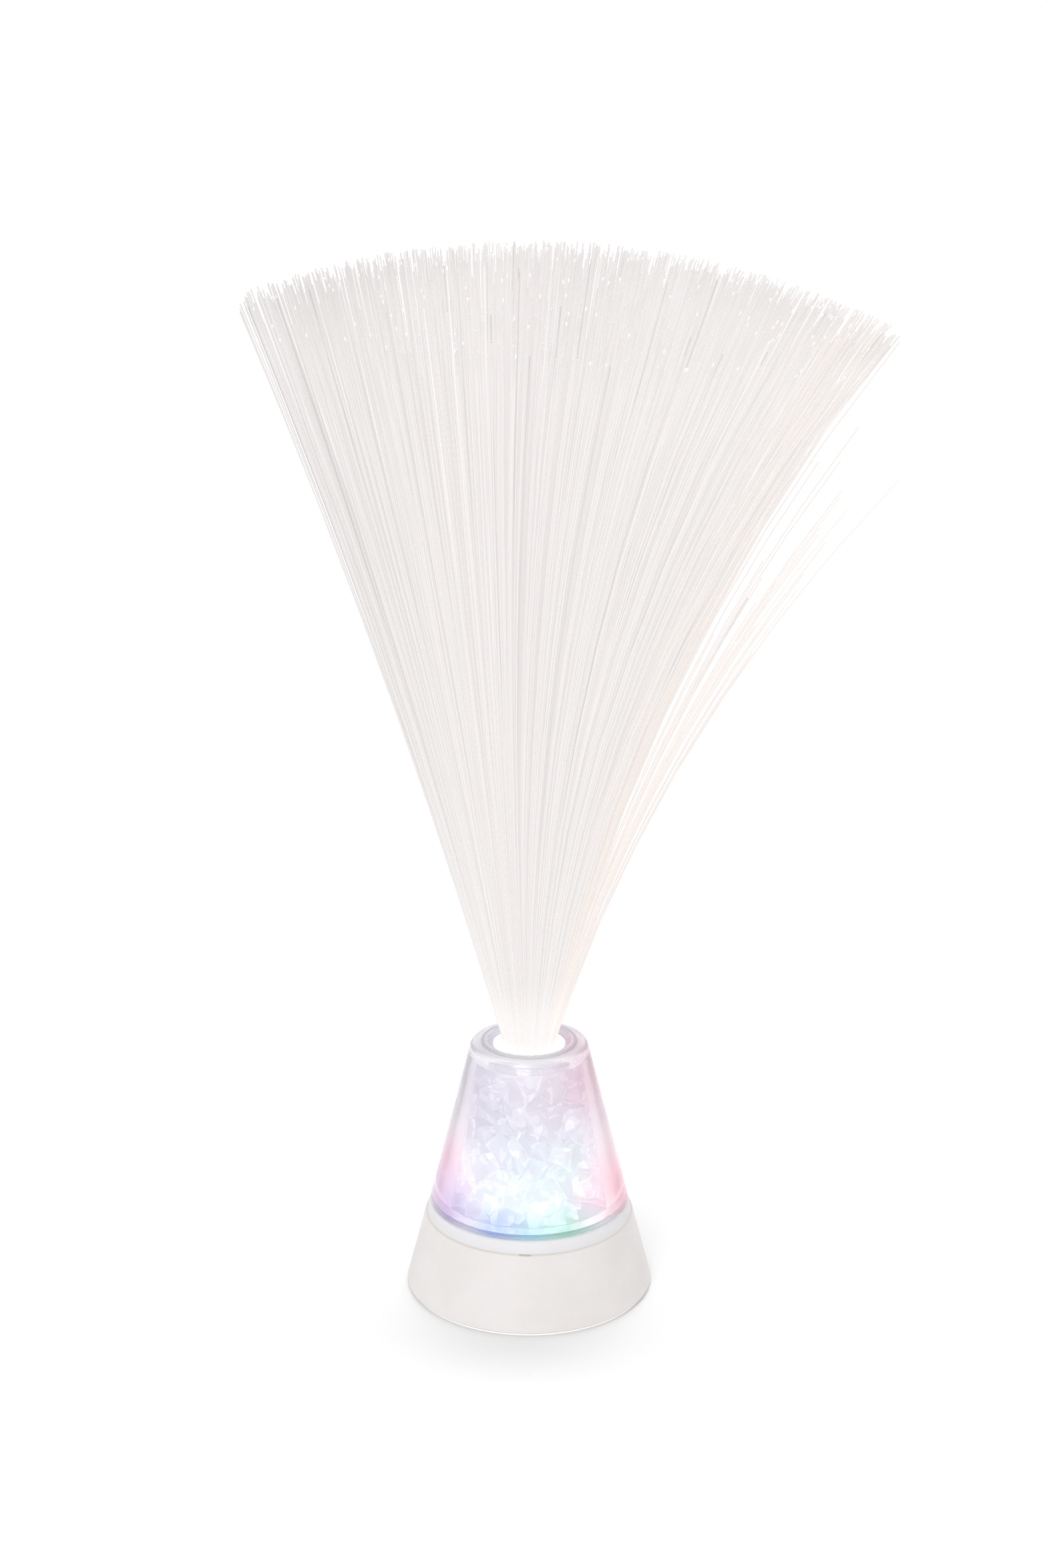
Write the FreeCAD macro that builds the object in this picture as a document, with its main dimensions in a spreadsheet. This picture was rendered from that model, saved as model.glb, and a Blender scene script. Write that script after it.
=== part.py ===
import FreeCAD, Part
import Sketcher
import math
import os
import random
import re

# A table lamp with a spray of optical fibres, in millimetres.
# The lamp stands on z = 0 with its axis on Z; the front is towards -Y.
# A white cone holds the batteries and the lights, a clear cone above it
# is filled with clear chips, and the fibre bundle rises out of the top.

Vector = FreeCAD.Vector
RINGS = 10
doc = FreeCAD.newDocument("lamp")
sheet = doc.addObject("Spreadsheet::Sheet", "sizes")

SIZES = {
    # white base
    "base_radius": 42.5,
    "base_taper": 0.2586,
    "base_wall": 2.2,
    "skirt_gap": 0.9,
    "edge_break": 0.5,
    "ledge_lip": 3.1,
    "ledge_thickness": 2.4,
    "notch_width": 3.8,
    "notch_height": 0.5,
    "notch_shift": 1.3,
    # clear cone
    "rim_step": 0.5,
    "body_taper": 0.2488,
    "top_height": 89.4,
    "shoulder_round": 2.0,
    "top_wall": 5.0,
    "rim_wall": 2.95,
    "wall_at_floor": 7.0,
    "wall_at_roof": 2.8,
    "lug_width": 8.0,
    "lug_thickness": 1.6,
    "lug_inset": 0.2,
    "lug_drop": 4.2,
    "hook_reach": 1.0,
    "hook_height": 1.6,
    "lug_clearance": 0.2,
    # lit floor of the chip chamber and the tube through it
    "floor_thickness": 2.5,
    "floor_skirt": 2.4,
    "floor_skirt_height": 3.0,
    "floor_clearance": 0.3,
    "tube_wall": 1.7,
    "tube_clearance": 0.2,
    # collar and disc at the top
    "collar_flange": 1.4,
    "collar_proud": 0.7,
    "collar_wall": 0.8,
    "collar_neck": 15.0,
    "collar_depth": 4.8,
    "recess_depth": 1.6,
    "recess_floor": 1.4,
    "disc_gap": 1.9,
    "disc_thickness": 1.1,
    "disc_hub_length": 11.8,
    "disc_bore_gap": 0.45,
    "disc_mouth_flare": 1.1,
    "disc_flare": 5.9,
    # fibres
    "fibre_diameter": 0.7,
    "fibre_pitch": 0.72,
    "fibre_gap": 2.9,
    "bend_below_disc": 6.9,
    "bend_length": 7.0,
    "bend_angle": 13.2,
    "bend_lean": -2.0,
    "spray_lean": 19.0,
    "spray_half_width": 109.0,
    "spray_half_depth": 105.0,
    "spray_radius": 268.0,
    "spray_centre_drop": 1.4,
    "ferrule_lip": 0.4,
    "ferrule_wall": 0.95,
    "ferrule_length": 18.0,
    "ferrule_clearance": 0.2,
    # clear chips
    "chip_spacing": 6.6,
    "chip_gap": 0.3,
    "chip_clearance": 0.3,
    # bottom plate and its feet
    "foot_proud": 0.8,
    "foot_thickness": 1.6,
    "foot_margin": 1.4,
    "foot_width": 3.4,
    "plate_thickness": 2.4,
    "plate_clearance": 0.3,
    # cells, their box and its door
    "cell_diameter": 10.5,
    "cell_length": 44.5,
    "cell_pitch": 11.3,
    "cell_nub_radius": 1.9,
    "cell_nub_length": 0.8,
    "cell_gap": 0.2,
    "cell_side_gap": 0.45,
    "cell_roof_gap": 0.3,
    "contact_room": 2.6,
    "box_wall": 1.4,
    "door_thickness": 2.0,
    "door_clearance": 0.3,
    "pin_radius": 0.7,
    "pin_length": 1.6,
    "pin_clearance": 0.05,
    "thumb_radius": 5.0,
    "thumb_depth": 0.9,
    "contact_thickness": 0.4,
    "contact_width": 8.0,
    "contact_height": 8.0,
    "leaf_rise": 2.0,
    "leaf_width": 4.0,
    "leaf_chord": 7.0,
    # circuit board and what stands on it
    "post_height": 2.2,
    "post_radius": 2.5,
    "post_circle": 15.0,
    "board_radius": 25.0,
    "board_thickness": 1.6,
    "led_radius": 2.5,
    "led_height": 8.6,
    "led_flange_radius": 2.9,
    "led_flange_height": 1.0,
    "led_circle": 17.0,
    "led_gap": 2.4,
    "white_led_radius": 4.0,
    "white_led_height": 8.5,
    "chip_part_length": 5.0,
    "chip_part_width": 4.0,
    "chip_part_height": 1.5,
    "resistor_length": 3.2,
    "resistor_width": 1.6,
    "resistor_height": 0.6,
    # screws
    "boss_radius": 2.9,
    "boss_gap": 0.8,
    "screw_radius": 1.25,
    "screw_clearance": 0.05,
    "screw_hole_radius": 1.45,
    "screw_head_radius": 2.5,
    "screw_head_height": 1.2,
    "screw_sink": 1.4,
    "screw_length": 11.0,
    "small_screw_radius": 0.8,
    "small_head_radius": 1.8,
    "small_head_height": 1.2,
    "small_screw_length": 4.0,
    "cross_width": 0.6,
    "cross_depth": 0.6,
    # slide switch
    "switch_y": -23.0,
    "switch_length": 8.6,
    "switch_width": 4.6,
    "switch_height": 4.2,
    "bracket_length": 19.0,
    "bracket_thickness": 0.5,
    "ear_spacing": 15.0,
    "ear_hole_radius": 1.0,
    "pin_spacing": 2.5,
    "terminal_radius": 0.4,
    "terminal_height": 1.1,
    "knob_length": 4.0,
    "knob_width": 2.0,
    "knob_recess": 0.3,
    "knob_travel": 3.0,
    "knob_side_gap": 0.2,
    "flange_width": 3.4,
    "flange_height": 1.2,
    "dish_length": 13.0,
    "dish_width": 6.4,
    "dish_depth": 0.9,
    # wires
    "wire_radius": 0.5,
    "wire_hole_radius": 0.7,
    "wire_height": 11.0,
    "wire_bend": 1.4,
    "wire_rise": 2.2,
    "wire_pad": 21.0,
    "wire_offset": 3.4,
    "wire_gap": 0.85,
}

for row, (word, number) in enumerate(SIZES.items(), start=1):
    sheet.set("A%d" % row, word)
    sheet.set("B%d" % row, str(number))
    sheet.setAlias("B%d" % row, word)

# sizes that follow from the ones above, as formulas of the same sheet
DERIVED = {
    "plate_under": "foot_proud",
    "plate_top": "plate_under + plate_thickness",
    "plate_radius": "base_radius - base_taper * (plate_top - skirt_gap) - base_wall - plate_clearance",
    "foot_outer": "plate_radius - foot_margin",
    "foot_inner": "foot_outer - foot_width",
    "boss_circle": "foot_inner - boss_gap - screw_head_radius",
    "door_top": "plate_under + door_thickness",
    "cell_radius": "cell_diameter / 2",
    "cell_height": "door_top + cell_gap + cell_radius",
    "roof_under": "cell_height + cell_radius + cell_roof_gap",
    "roof_top": "roof_under + box_wall",
    "box_half_length": "cell_length / 2 + contact_room",
    "box_half_width": "cell_pitch + cell_radius + cell_side_gap",
    "barrel_radius": "door_thickness / 2",
    "hinge_x": "-box_half_length + door_clearance + barrel_radius",
    "hinge_z": "plate_under + barrel_radius",
    "board_under": "roof_top + post_height",
    "board_top": "board_under + board_thickness",
    "floor_under": "board_top + led_height + led_gap",
    "floor_top": "floor_under + floor_thickness",
    "seam_height": "floor_under - floor_skirt_height",
    "seam_radius": "base_radius - base_taper * (seam_height - skirt_gap)",
    "ledge_under": "seam_height - ledge_thickness",
    "ledge_under_radius": "base_radius - base_taper * (ledge_under - skirt_gap) - base_wall",
    "rim_radius": "seam_radius - rim_step",
    "rebate_radius": "rim_radius - rim_wall",
    "floor_radius": "rebate_radius - floor_clearance",
    "ledge_inner": "floor_radius - floor_skirt - ledge_lip",
    "lug_inner": "rebate_radius + lug_inset",
    "top_radius": "rim_radius - body_taper * (top_height - seam_height)",
    "chamber_roof": "top_height - top_wall",
    "chamber_foot_radius": "rim_radius - body_taper * (floor_top - seam_height) - wall_at_floor",
    "chamber_top_radius": "rim_radius - body_taper * (chamber_roof - seam_height) - wall_at_roof",
    "bundle_radius": "%d * fibre_pitch + fibre_diameter / 2" % RINGS,
    "ferrule_radius": "bundle_radius + ferrule_clearance + ferrule_wall",
    "tube_bore": "ferrule_radius + tube_clearance",
    "tube_radius": "tube_bore + tube_wall",
    "recess_z": "top_height - recess_depth",
    "collar_top": "top_height + collar_proud",
    "collar_radius": "collar_neck + collar_flange",
    "disc_radius": "collar_neck - collar_wall - disc_gap",
    "disc_top": "recess_z + disc_thickness",
    "disc_hub_radius": "tube_radius - tube_clearance",
    "disc_bore": "bundle_radius + disc_bore_gap",
    "disc_mouth": "disc_bore + disc_mouth_flare",
    "tube_top": "recess_z - disc_hub_length",
    "fibre_foot": "board_top + white_led_height + fibre_gap",
    "fibre_bend": "disc_top - bend_below_disc",
    "ferrule_foot": "fibre_foot - ferrule_lip",
    "spray_centre": "top_height - spray_centre_drop",
    "leaf_radius": "(leaf_chord * leaf_chord / 4 + leaf_rise * leaf_rise) / (2 * leaf_rise)",
    "bracket_top": "plate_top + bracket_thickness",
    "switch_top": "bracket_top + switch_height",
    "terminal_top": "switch_top + terminal_height",
    "slot_length": "knob_length + knob_travel + 2 * knob_side_gap",
    "slot_width": "knob_width + 2 * knob_side_gap",
    "knob_x": "knob_travel / 2",
    "flange_under": "bracket_top + knob_recess",
    "flange_top": "flange_under + flange_height",
}
for row, (word, formula) in enumerate(DERIVED.items(), start=len(SIZES) + 1):
    sheet.set("A%d" % row, word)
    sheet.set("B%d" % row, "=" + formula)
    sheet.setAlias("B%d" % row, word)
doc.recompute()

WORDS = set(SIZES) | set(DERIVED)


def size(word):
    """A size of the sheet as a plain number."""
    return float(sheet.get(word))


def bound(formula):
    """A formula on the sheet's words, as an expression of the document."""
    return re.sub(r"[a-z_]+", lambda m: "sizes." + m[0] if m[0] in WORDS else m[0], str(formula))


def tie(thing, **formulas):
    """Bind properties of an object to formulas of the sheet."""
    for prop, formula in formulas.items():
        thing.setExpression(prop, bound(formula))
    return thing


def put(thing, x=0, y=0, z=0):
    """Bind an object's place to formulas of the sheet."""
    for axis, formula in (("x", x), ("y", y), ("z", z)):
        thing.setExpression("Placement.Base." + axis, bound(formula))
    return thing


TURNS = {
    "Z": FreeCAD.Rotation(),
    "X": FreeCAD.Rotation(Vector(0, 1, 0), 90),
    "Y": FreeCAD.Rotation(Vector(1, 0, 0), -90),
}


def cylinder(radius, height, x=0, y=0, z=0, axis="Z"):
    """A cylinder from its foot at x, y, z along an axis."""
    thing = doc.addObject("Part::Cylinder", "rod")
    thing.Placement = FreeCAD.Placement(Vector(), TURNS[axis])
    return put(tie(thing, Radius=radius, Height=height), x, y, z)


def box(length, width, height, x=0, y=0, z=0):
    """A box centred on x and y, standing on z."""
    thing = tie(doc.addObject("Part::Box", "block"), Length=length, Width=width, Height=height)
    return put(thing, "%s - (%s) / 2" % (x, length), "%s - (%s) / 2" % (y, width), z)


def ball(radius, x=0, y=0, z=0):
    """A sphere about x, y, z."""
    return put(tie(doc.addObject("Part::Sphere", "dome"), Radius=radius), x, y, z)


def fuse(*things):
    """One solid of several that meet."""
    thing = doc.addObject("Part::MultiFuse", "joined")
    thing.Shapes = list(things)
    return thing


def cut(base, *tools):
    """The base without the tools."""
    thing = doc.addObject("Part::Cut", "cut")
    thing.Base = base
    thing.Tool = tools[0] if len(tools) == 1 else fuse(*tools)
    return thing


def overlap(first, second):
    """What two solids share."""
    thing = doc.addObject("Part::Common", "shared")
    thing.Base = first
    thing.Tool = second
    return thing


def group(*things):
    """Separate solids that make one sub-part."""
    thing = doc.addObject("Part::Compound", "set")
    thing.Links = list(things)
    return thing


def plane_of(body, role):
    return [p for p in body.Origin.OriginFeatures if p.Role == role][0]


def outline(body, role, corners):
    """A closed sketch of straight edges, each corner bound to two formulas."""
    sketch = body.newObject("Sketcher::SketchObject", "outline")
    sketch.AttachmentSupport = [(plane_of(body, role), "")]
    sketch.MapMode = "FlatFace"
    spots = [Vector(sheet.evalExpression(bound(u)), sheet.evalExpression(bound(v)), 0) for u, v in corners]
    count = len(spots)
    for i in range(count):
        sketch.addGeometry(Part.LineSegment(spots[i], spots[(i + 1) % count]), False)
    for i in range(count):
        sketch.addConstraint(Sketcher.Constraint("Coincident", i, 2, (i + 1) % count, 1))
    for i, (u, v) in enumerate(corners):
        across = sketch.addConstraint(Sketcher.Constraint("DistanceX", -1, 1, i, 1, spots[i].x))
        sketch.setExpression("Constraints[%d]" % across, bound(u))
        up = sketch.addConstraint(Sketcher.Constraint("DistanceY", -1, 1, i, 1, spots[i].y))
        sketch.setExpression("Constraints[%d]" % up, bound(v))
    return sketch


def turned(corners):
    """A body turned about Z from an outline of (radius, height) corners."""
    body = doc.addObject("PartDesign::Body", "turned")
    sketch = outline(body, "XZ_Plane", corners)
    turn = body.newObject("PartDesign::Revolution", "turn")
    turn.Profile = sketch
    turn.ReferenceAxis = (sketch, ["V_Axis"])
    turn.Angle = 360
    doc.recompute()
    return body


def round_circle(body, radius_word, height_word, round_word):
    """Round the circular edge of a turned body that lies at a radius and height."""
    base = body.Tip
    for number, edge in enumerate(base.Shape.Edges, start=1):
        curve = edge.Curve
        if isinstance(curve, Part.Circle) and abs(curve.Radius - size(radius_word)) < 0.01:
            if abs(curve.Center.z - size(height_word)) < 0.01:
                fillet = body.newObject("PartDesign::Fillet", "rounding")
                fillet.Base = (base, ["Edge%d" % number])
                tie(fillet, Radius=round_word)
    doc.recompute()
    return body


PARTS = []


def part(label, thing):
    """Name a finished sub-part: its label is its node and file name."""
    thing.Label = label
    PARTS.append(thing)
    return thing


def around(degrees_list, radius_word):
    """Formulas of the x and y of places on a circle about Z."""
    return [("%s * cos(%s deg)" % (radius_word, degrees), "%s * sin(%s deg)" % (radius_word, degrees))
            for degrees in degrees_list]


def turned_box(length, width, height, radius_word, degrees, z):
    """A box on the X axis at a radius, then turned about Z."""
    thing = tie(doc.addObject("Part::Box", "block"), Length=length, Width=width, Height=height)
    thing.Placement = FreeCAD.Placement(Vector(), FreeCAD.Rotation(Vector(0, 0, 1), degrees))
    side = "(%s) / 2" % width
    x = "(%s) * cos(%s deg) + %s * sin(%s deg)" % (radius_word, degrees, side, degrees)
    y = "(%s) * sin(%s deg) - %s * cos(%s deg)" % (radius_word, degrees, side, degrees)
    return put(thing, x, y, z)


# White base: a conical shell with a ledge for the clear cone, and four screw bosses

LUG_DEGREES = (0, 90, 180, 270)
BOSS_DEGREES = (50, 130, 230, 310)
POST_DEGREES = (30, 150, 270)


def base_housing():
    shell = turned([
        ("base_radius - edge_break", "skirt_gap"),
        ("base_radius - base_taper * edge_break", "skirt_gap + edge_break"),
        ("seam_radius + base_taper * edge_break", "seam_height - edge_break"),
        ("seam_radius - edge_break", "seam_height"),
        ("ledge_inner", "seam_height"),
        ("ledge_inner", "ledge_under"),
        ("ledge_under_radius", "ledge_under"),
        ("base_radius - base_wall", "skirt_gap"),
    ])
    bosses = []
    holes = []
    for x, y in around(BOSS_DEGREES, "boss_circle"):
        bosses.append(cylinder("boss_radius", "ledge_under - plate_top + edge_break", x, y, "plate_top"))
        holes.append(cylinder("screw_radius + screw_clearance", "screw_length", x, y, "plate_top"))
    slots = [turned_box("lug_thickness + 2 * lug_clearance", "lug_width + 2 * lug_clearance",
                        "lug_drop + 2 * lug_clearance", "lug_inner - lug_clearance", degrees,
                        "seam_height - lug_drop - lug_clearance") for degrees in LUG_DEGREES]
    notch = box("notch_width", "base_wall", "2 * notch_height",
                "-notch_shift", "-seam_radius", "seam_height - notch_height")
    return part("base_housing", cut(fuse(shell, *bosses), notch, *holes, *slots))


# Clear cone: a thick moulded wall with four snap lugs under it

def clear_body():
    cone = turned([
        ("rebate_radius", "seam_height"),
        ("rim_radius", "seam_height"),
        ("top_radius", "top_height"),
        ("collar_neck + tube_clearance", "top_height"),
        ("collar_neck + tube_clearance", "chamber_roof"),
        ("chamber_top_radius", "chamber_roof"),
        ("chamber_foot_radius", "floor_top + floor_clearance"),
        ("rebate_radius", "floor_top + floor_clearance"),
    ])
    round_circle(cone, "top_radius", "top_height", "shoulder_round")
    lugs = []
    for degrees in LUG_DEGREES:
        lugs.append(turned_box("lug_thickness", "lug_width", "lug_drop + edge_break",
                               "lug_inner", degrees, "seam_height - lug_drop"))
        lugs.append(turned_box("hook_reach + edge_break", "lug_width", "hook_height",
                               "lug_inner - hook_reach", degrees, "seam_height - lug_drop"))
    return part("clear_body", fuse(cone, *lugs))


def chamber_floor():
    return part("chamber_floor", turned([
        ("tube_radius + tube_clearance", "floor_under"),
        ("floor_radius - floor_skirt", "floor_under"),
        ("floor_radius - floor_skirt", "seam_height"),
        ("floor_radius", "seam_height"),
        ("floor_radius", "floor_top - edge_break"),
        ("floor_radius - edge_break", "floor_top"),
        ("tube_radius + tube_clearance", "floor_top"),
    ]))


def light_tube():
    return part("light_tube", turned([
        ("tube_bore", "board_top"),
        ("tube_radius", "board_top"),
        ("tube_radius", "tube_top"),
        ("tube_bore", "tube_top"),
    ]))


# Collar and disc that close the top round the fibres

def top_collar():
    return part("top_collar", turned([
        ("disc_hub_radius + tube_clearance", "recess_z - recess_floor"),
        ("collar_neck - 1.5 * collar_wall", "recess_z - recess_floor"),
        ("collar_neck - 1.5 * collar_wall", "top_height - collar_depth"),
        ("collar_neck", "top_height - collar_depth"),
        ("collar_neck", "top_height"),
        ("collar_radius", "top_height"),
        ("collar_radius", "collar_top - edge_break / 2"),
        ("collar_radius - edge_break / 2", "collar_top"),
        ("collar_neck - collar_wall + edge_break / 2", "collar_top"),
        ("collar_neck - collar_wall", "collar_top - edge_break / 2"),
        ("collar_neck - collar_wall", "recess_z"),
        ("disc_hub_radius + tube_clearance", "recess_z"),
    ]))


def fibre_disc():
    return part("fibre_disc", turned([
        ("disc_bore", "tube_top"),
        ("disc_hub_radius", "tube_top"),
        ("disc_hub_radius", "recess_z"),
        ("disc_radius", "recess_z"),
        ("disc_radius", "disc_top - edge_break / 2"),
        ("disc_radius - edge_break / 2", "disc_top"),
        ("disc_mouth", "disc_top"),
        ("disc_bore", "disc_top - disc_flare"),
    ]))


def fibre_ferrule():
    return part("fibre_ferrule", turned([
        ("bundle_radius + ferrule_clearance", "ferrule_foot"),
        ("ferrule_radius", "ferrule_foot"),
        ("ferrule_radius", "ferrule_foot + ferrule_length"),
        ("bundle_radius + ferrule_clearance", "ferrule_foot + ferrule_length"),
    ]))


# Bottom plate: a disc with the battery box, board posts, switch slot and door opening

SWITCH_ENDS = (-1, 1)
CELL_ROWS = (-1, 0, 1)


def bottom_plate():
    disc = cylinder("plate_radius", "plate_thickness", 0, 0, "plate_under")
    crate = box("2 * (box_half_length + box_wall)", "2 * (box_half_width + box_wall)",
                "roof_top - plate_under", 0, 0, "plate_under")
    posts = [cylinder("post_radius", "post_height + box_wall / 2", x, y, "roof_top - box_wall / 2")
             for x, y in around(POST_DEGREES, "post_circle")]
    room = box("2 * box_half_length", "2 * box_half_width", "roof_under - plate_under", 0, 0, "plate_under")
    holes = [room]
    for x, y in around(POST_DEGREES, "post_circle"):
        holes.append(cylinder("small_screw_radius + screw_clearance", "small_screw_length",
                              x, y, "board_top - small_screw_length - screw_clearance"))
    for x, y in around(BOSS_DEGREES, "boss_circle"):
        holes.append(cylinder("screw_hole_radius", "plate_thickness", x, y, "plate_under"))
        holes.append(cylinder("screw_head_radius + screw_clearance", "screw_sink", x, y, "plate_under"))
    groove = cut(cylinder("foot_outer + screw_clearance", "foot_thickness - foot_proud", 0, 0, "plate_under"),
                 cylinder("foot_inner - screw_clearance", "foot_thickness", 0, 0, "plate_under"))
    holes.append(groove)
    for side in SWITCH_ENDS:
        start = "box_half_width" if side > 0 else "-box_half_width - pin_length"
        holes.append(cylinder("pin_radius + pin_clearance", "pin_length", "hinge_x", start, "hinge_z", "Y"))
        holes.append(cylinder("small_screw_radius + screw_clearance", "small_screw_length",
                              "%d * ear_spacing / 2" % side, "switch_y",
                              "bracket_top - small_screw_length - screw_clearance"))
    holes.append(box("dish_length", "dish_width", "dish_depth", 0, "switch_y", "plate_under"))
    holes.append(box("slot_length", "slot_width", "plate_thickness", 0, "switch_y", "plate_under"))
    for side in SWITCH_ENDS:
        wall_x = "%d * (box_half_length + box_wall / 2) - box_wall" % side
        holes.append(cylinder("wire_hole_radius", "2 * box_wall", wall_x, "%d * cell_pitch" % side,
                              "wire_height", "X"))
    return part("bottom_plate", cut(fuse(disc, crate, *posts), *holes))


def battery_door():
    reach = "box_half_length - door_clearance - hinge_x"
    leaf = box(reach, "2 * (box_half_width - door_clearance)", "door_thickness",
               "hinge_x + (%s) / 2" % reach, 0, "plate_under")
    barrel = cylinder("barrel_radius", "2 * (box_half_width - door_clearance)", "hinge_x",
                      "-(box_half_width - door_clearance)", "hinge_z", "Y")
    pins = cylinder("pin_radius", "2 * (box_half_width + pin_length - door_clearance)", "hinge_x",
                    "-(box_half_width + pin_length - door_clearance)", "hinge_z", "Y")
    thumb = cylinder("thumb_radius", "thumb_depth", "box_half_length - door_clearance", 0, "plate_under")
    return part("battery_door", cut(fuse(leaf, barrel, pins), thumb))


# Cells side by side along X, turned end for end, with their contacts

def battery(number, row, way):
    y = "%d * cell_pitch" % row
    start = "-cell_length / 2 + %s" % ("0" if way > 0 else "cell_nub_length")
    can = cylinder("cell_radius", "cell_length - cell_nub_length", start, y, "cell_height", "X")
    nub = cylinder("cell_nub_radius", "2 * cell_nub_length",
                   "cell_length / 2 - 2 * cell_nub_length" if way > 0 else "-cell_length / 2", y,
                   "cell_height", "X")
    return part("battery_%d" % number, fuse(can, nub))


def contact(side, rows):
    """A plate on an end wall of the battery box, with a bowed leaf for each cell it meets."""
    middle = "%s * cell_pitch" % (sum(rows) / len(rows))
    wall = "%d * box_half_length" % side
    plate_x = "%s - %d * contact_thickness / 2" % (wall, side)
    plate = box("contact_thickness", "contact_width + %d * cell_pitch" % (len(rows) - 1), "contact_height",
                plate_x, middle, "cell_height - contact_height / 2")
    pieces = [plate]
    for row in rows:
        y = "%d * cell_pitch" % row
        foot = "cell_height - leaf_width / 2"
        centre = "%s - %d * (contact_thickness + leaf_rise - leaf_radius)" % (wall, side)
        outer = cylinder("leaf_radius", "leaf_width", centre, y, foot)
        inner = cylinder("leaf_radius - contact_thickness", "leaf_width", centre, y, foot)
        window_x = "%s - %d * (leaf_rise / 2 + 3 * contact_thickness / 4)" % (wall, side)
        window = box("leaf_rise + contact_thickness / 2", "leaf_chord + 2 * contact_thickness",
                     "leaf_width", window_x, y, foot)
        pieces.append(overlap(cut(outer, inner), window))
    return fuse(*pieces)


# Circuit board, its lights and its parts

LED_PLACES = {"blue": 225, "green": 300, "red": 345, "pink": 180}


def circuit_board():
    disc = cylinder("board_radius", "board_thickness", 0, 0, "board_under")
    holes = [cylinder("ear_hole_radius", "board_thickness", x, y, "board_under")
             for x, y in around(POST_DEGREES, "post_circle")]
    return part("circuit_board", cut(disc, *holes))


def led(colour, degrees):
    x, y = around([degrees], "led_circle")[0]
    lens = fuse(
        cylinder("led_flange_radius", "led_flange_height", x, y, "board_top"),
        cylinder("led_radius", "led_height - led_radius", x, y, "board_top"),
        ball("led_radius", x, y, "board_top + led_height - led_radius"))
    return part("led_" + colour, lens)


def led_white():
    lens = fuse(
        cylinder("white_led_radius + edge_break", "led_flange_height", 0, 0, "board_top"),
        cylinder("white_led_radius", "white_led_height - white_led_radius", 0, 0, "board_top"),
        ball("white_led_radius", 0, 0, "board_top + white_led_height - white_led_radius"))
    return part("led_white", lens)


def board_parts():
    part("controller_chip", box("chip_part_length", "chip_part_width", "chip_part_height",
                                0, "led_circle", "board_top"))
    spots = [("led_circle / 2", "led_circle"), ("-led_circle / 2", "led_circle"),
             ("led_circle / 2 + resistor_length", "-led_circle / 3"), ("-led_circle", "-led_circle / 3")]
    part("resistors", group(*[box("resistor_length", "resistor_width", "resistor_height", x, y, "board_top")
                              for x, y in spots]))


# Screws with crossed slots in their heads

CROSS_SPAN = 1.2


def screw(x, y, head_z, shank_radius, shank_length, head_radius, head_height, up):
    """A screw whose head lies below its shank (up) or above it."""
    if up:
        head = cylinder(head_radius, head_height, x, y, "%s - %s" % (head_z, head_height))
        shank = cylinder(shank_radius, shank_length, x, y, head_z)
        slot_z = "%s - %s" % (head_z, head_height)
    else:
        head = cylinder(head_radius, head_height, x, y, head_z)
        shank = cylinder(shank_radius, shank_length, x, y, "%s - (%s)" % (head_z, shank_length))
        slot_z = "%s + %s - cross_depth" % (head_z, head_height)
    span = "%s * %s" % (CROSS_SPAN, head_radius)
    cross = [box(span, "cross_width", "cross_depth", x, y, slot_z),
             box("cross_width", span, "cross_depth", x, y, slot_z)]
    return cut(fuse(head, shank), *cross)


def screws():
    part("housing_screws", group(*[
        screw(x, y, "plate_under + screw_sink", "screw_radius", "screw_length - screw_sink",
              "screw_head_radius", "screw_head_height", True)
        for x, y in around(BOSS_DEGREES, "boss_circle")]))
    part("board_screws", group(*[
        screw(x, y, "board_top", "small_screw_radius", "small_screw_length",
              "small_head_radius", "small_head_height", False)
        for x, y in around(POST_DEGREES, "post_circle")]))
    part("switch_screws", group(*[
        screw("%d * ear_spacing / 2" % side, "switch_y", "bracket_top", "small_screw_radius",
              "small_screw_length - 2 * small_screw_radius", "small_head_radius", "small_head_height", False)
        for side in SWITCH_ENDS]))


def foot_ring():
    return part("foot_ring", turned([
        ("foot_inner", "0"), ("foot_outer", "0"), ("foot_outer", "foot_thickness"),
        ("foot_inner", "foot_thickness")]))


# Slide switch over the slot in the bottom plate, reached from below

def switch():
    bracket = box("bracket_length", "switch_width", "bracket_thickness", 0, "switch_y", "plate_top")
    case = box("switch_length", "switch_width", "switch_height", 0, "switch_y", "bracket_top")
    terminals = [cylinder("terminal_radius", "terminal_height + edge_break", "%d * pin_spacing" % i,
                          "switch_y", "switch_top - edge_break") for i in (-1, 0, 1)]
    slot = box("slot_length", "slot_width", "2 * bracket_thickness", 0, "switch_y", "plate_top")
    chamber = box("slot_length", "flange_width + 2 * knob_side_gap", "flange_top + knob_recess - bracket_top",
                  0, "switch_y", "bracket_top")
    ears = [cylinder("ear_hole_radius", "bracket_thickness", "%d * ear_spacing / 2" % side, "switch_y",
                     "plate_top") for side in SWITCH_ENDS]
    part("switch_body", cut(fuse(bracket, case, *terminals), slot, chamber, *ears))
    foot = "plate_under + knob_recess"
    stem = box("knob_length", "knob_width", "flange_top - (%s)" % foot, "knob_x", "switch_y", foot)
    flange = box("knob_length", "flange_width", "flange_height", "knob_x", "switch_y", "flange_under")
    grooves = [box("cross_width", "knob_width", "knob_recess", "knob_x + %s * cross_width" % i,
                   "switch_y", foot) for i in (-2, 0, 2)]
    part("switch_knob", cut(fuse(stem, flange), *grooves))


# Wires: straight runs joined by tangent arcs

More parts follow.
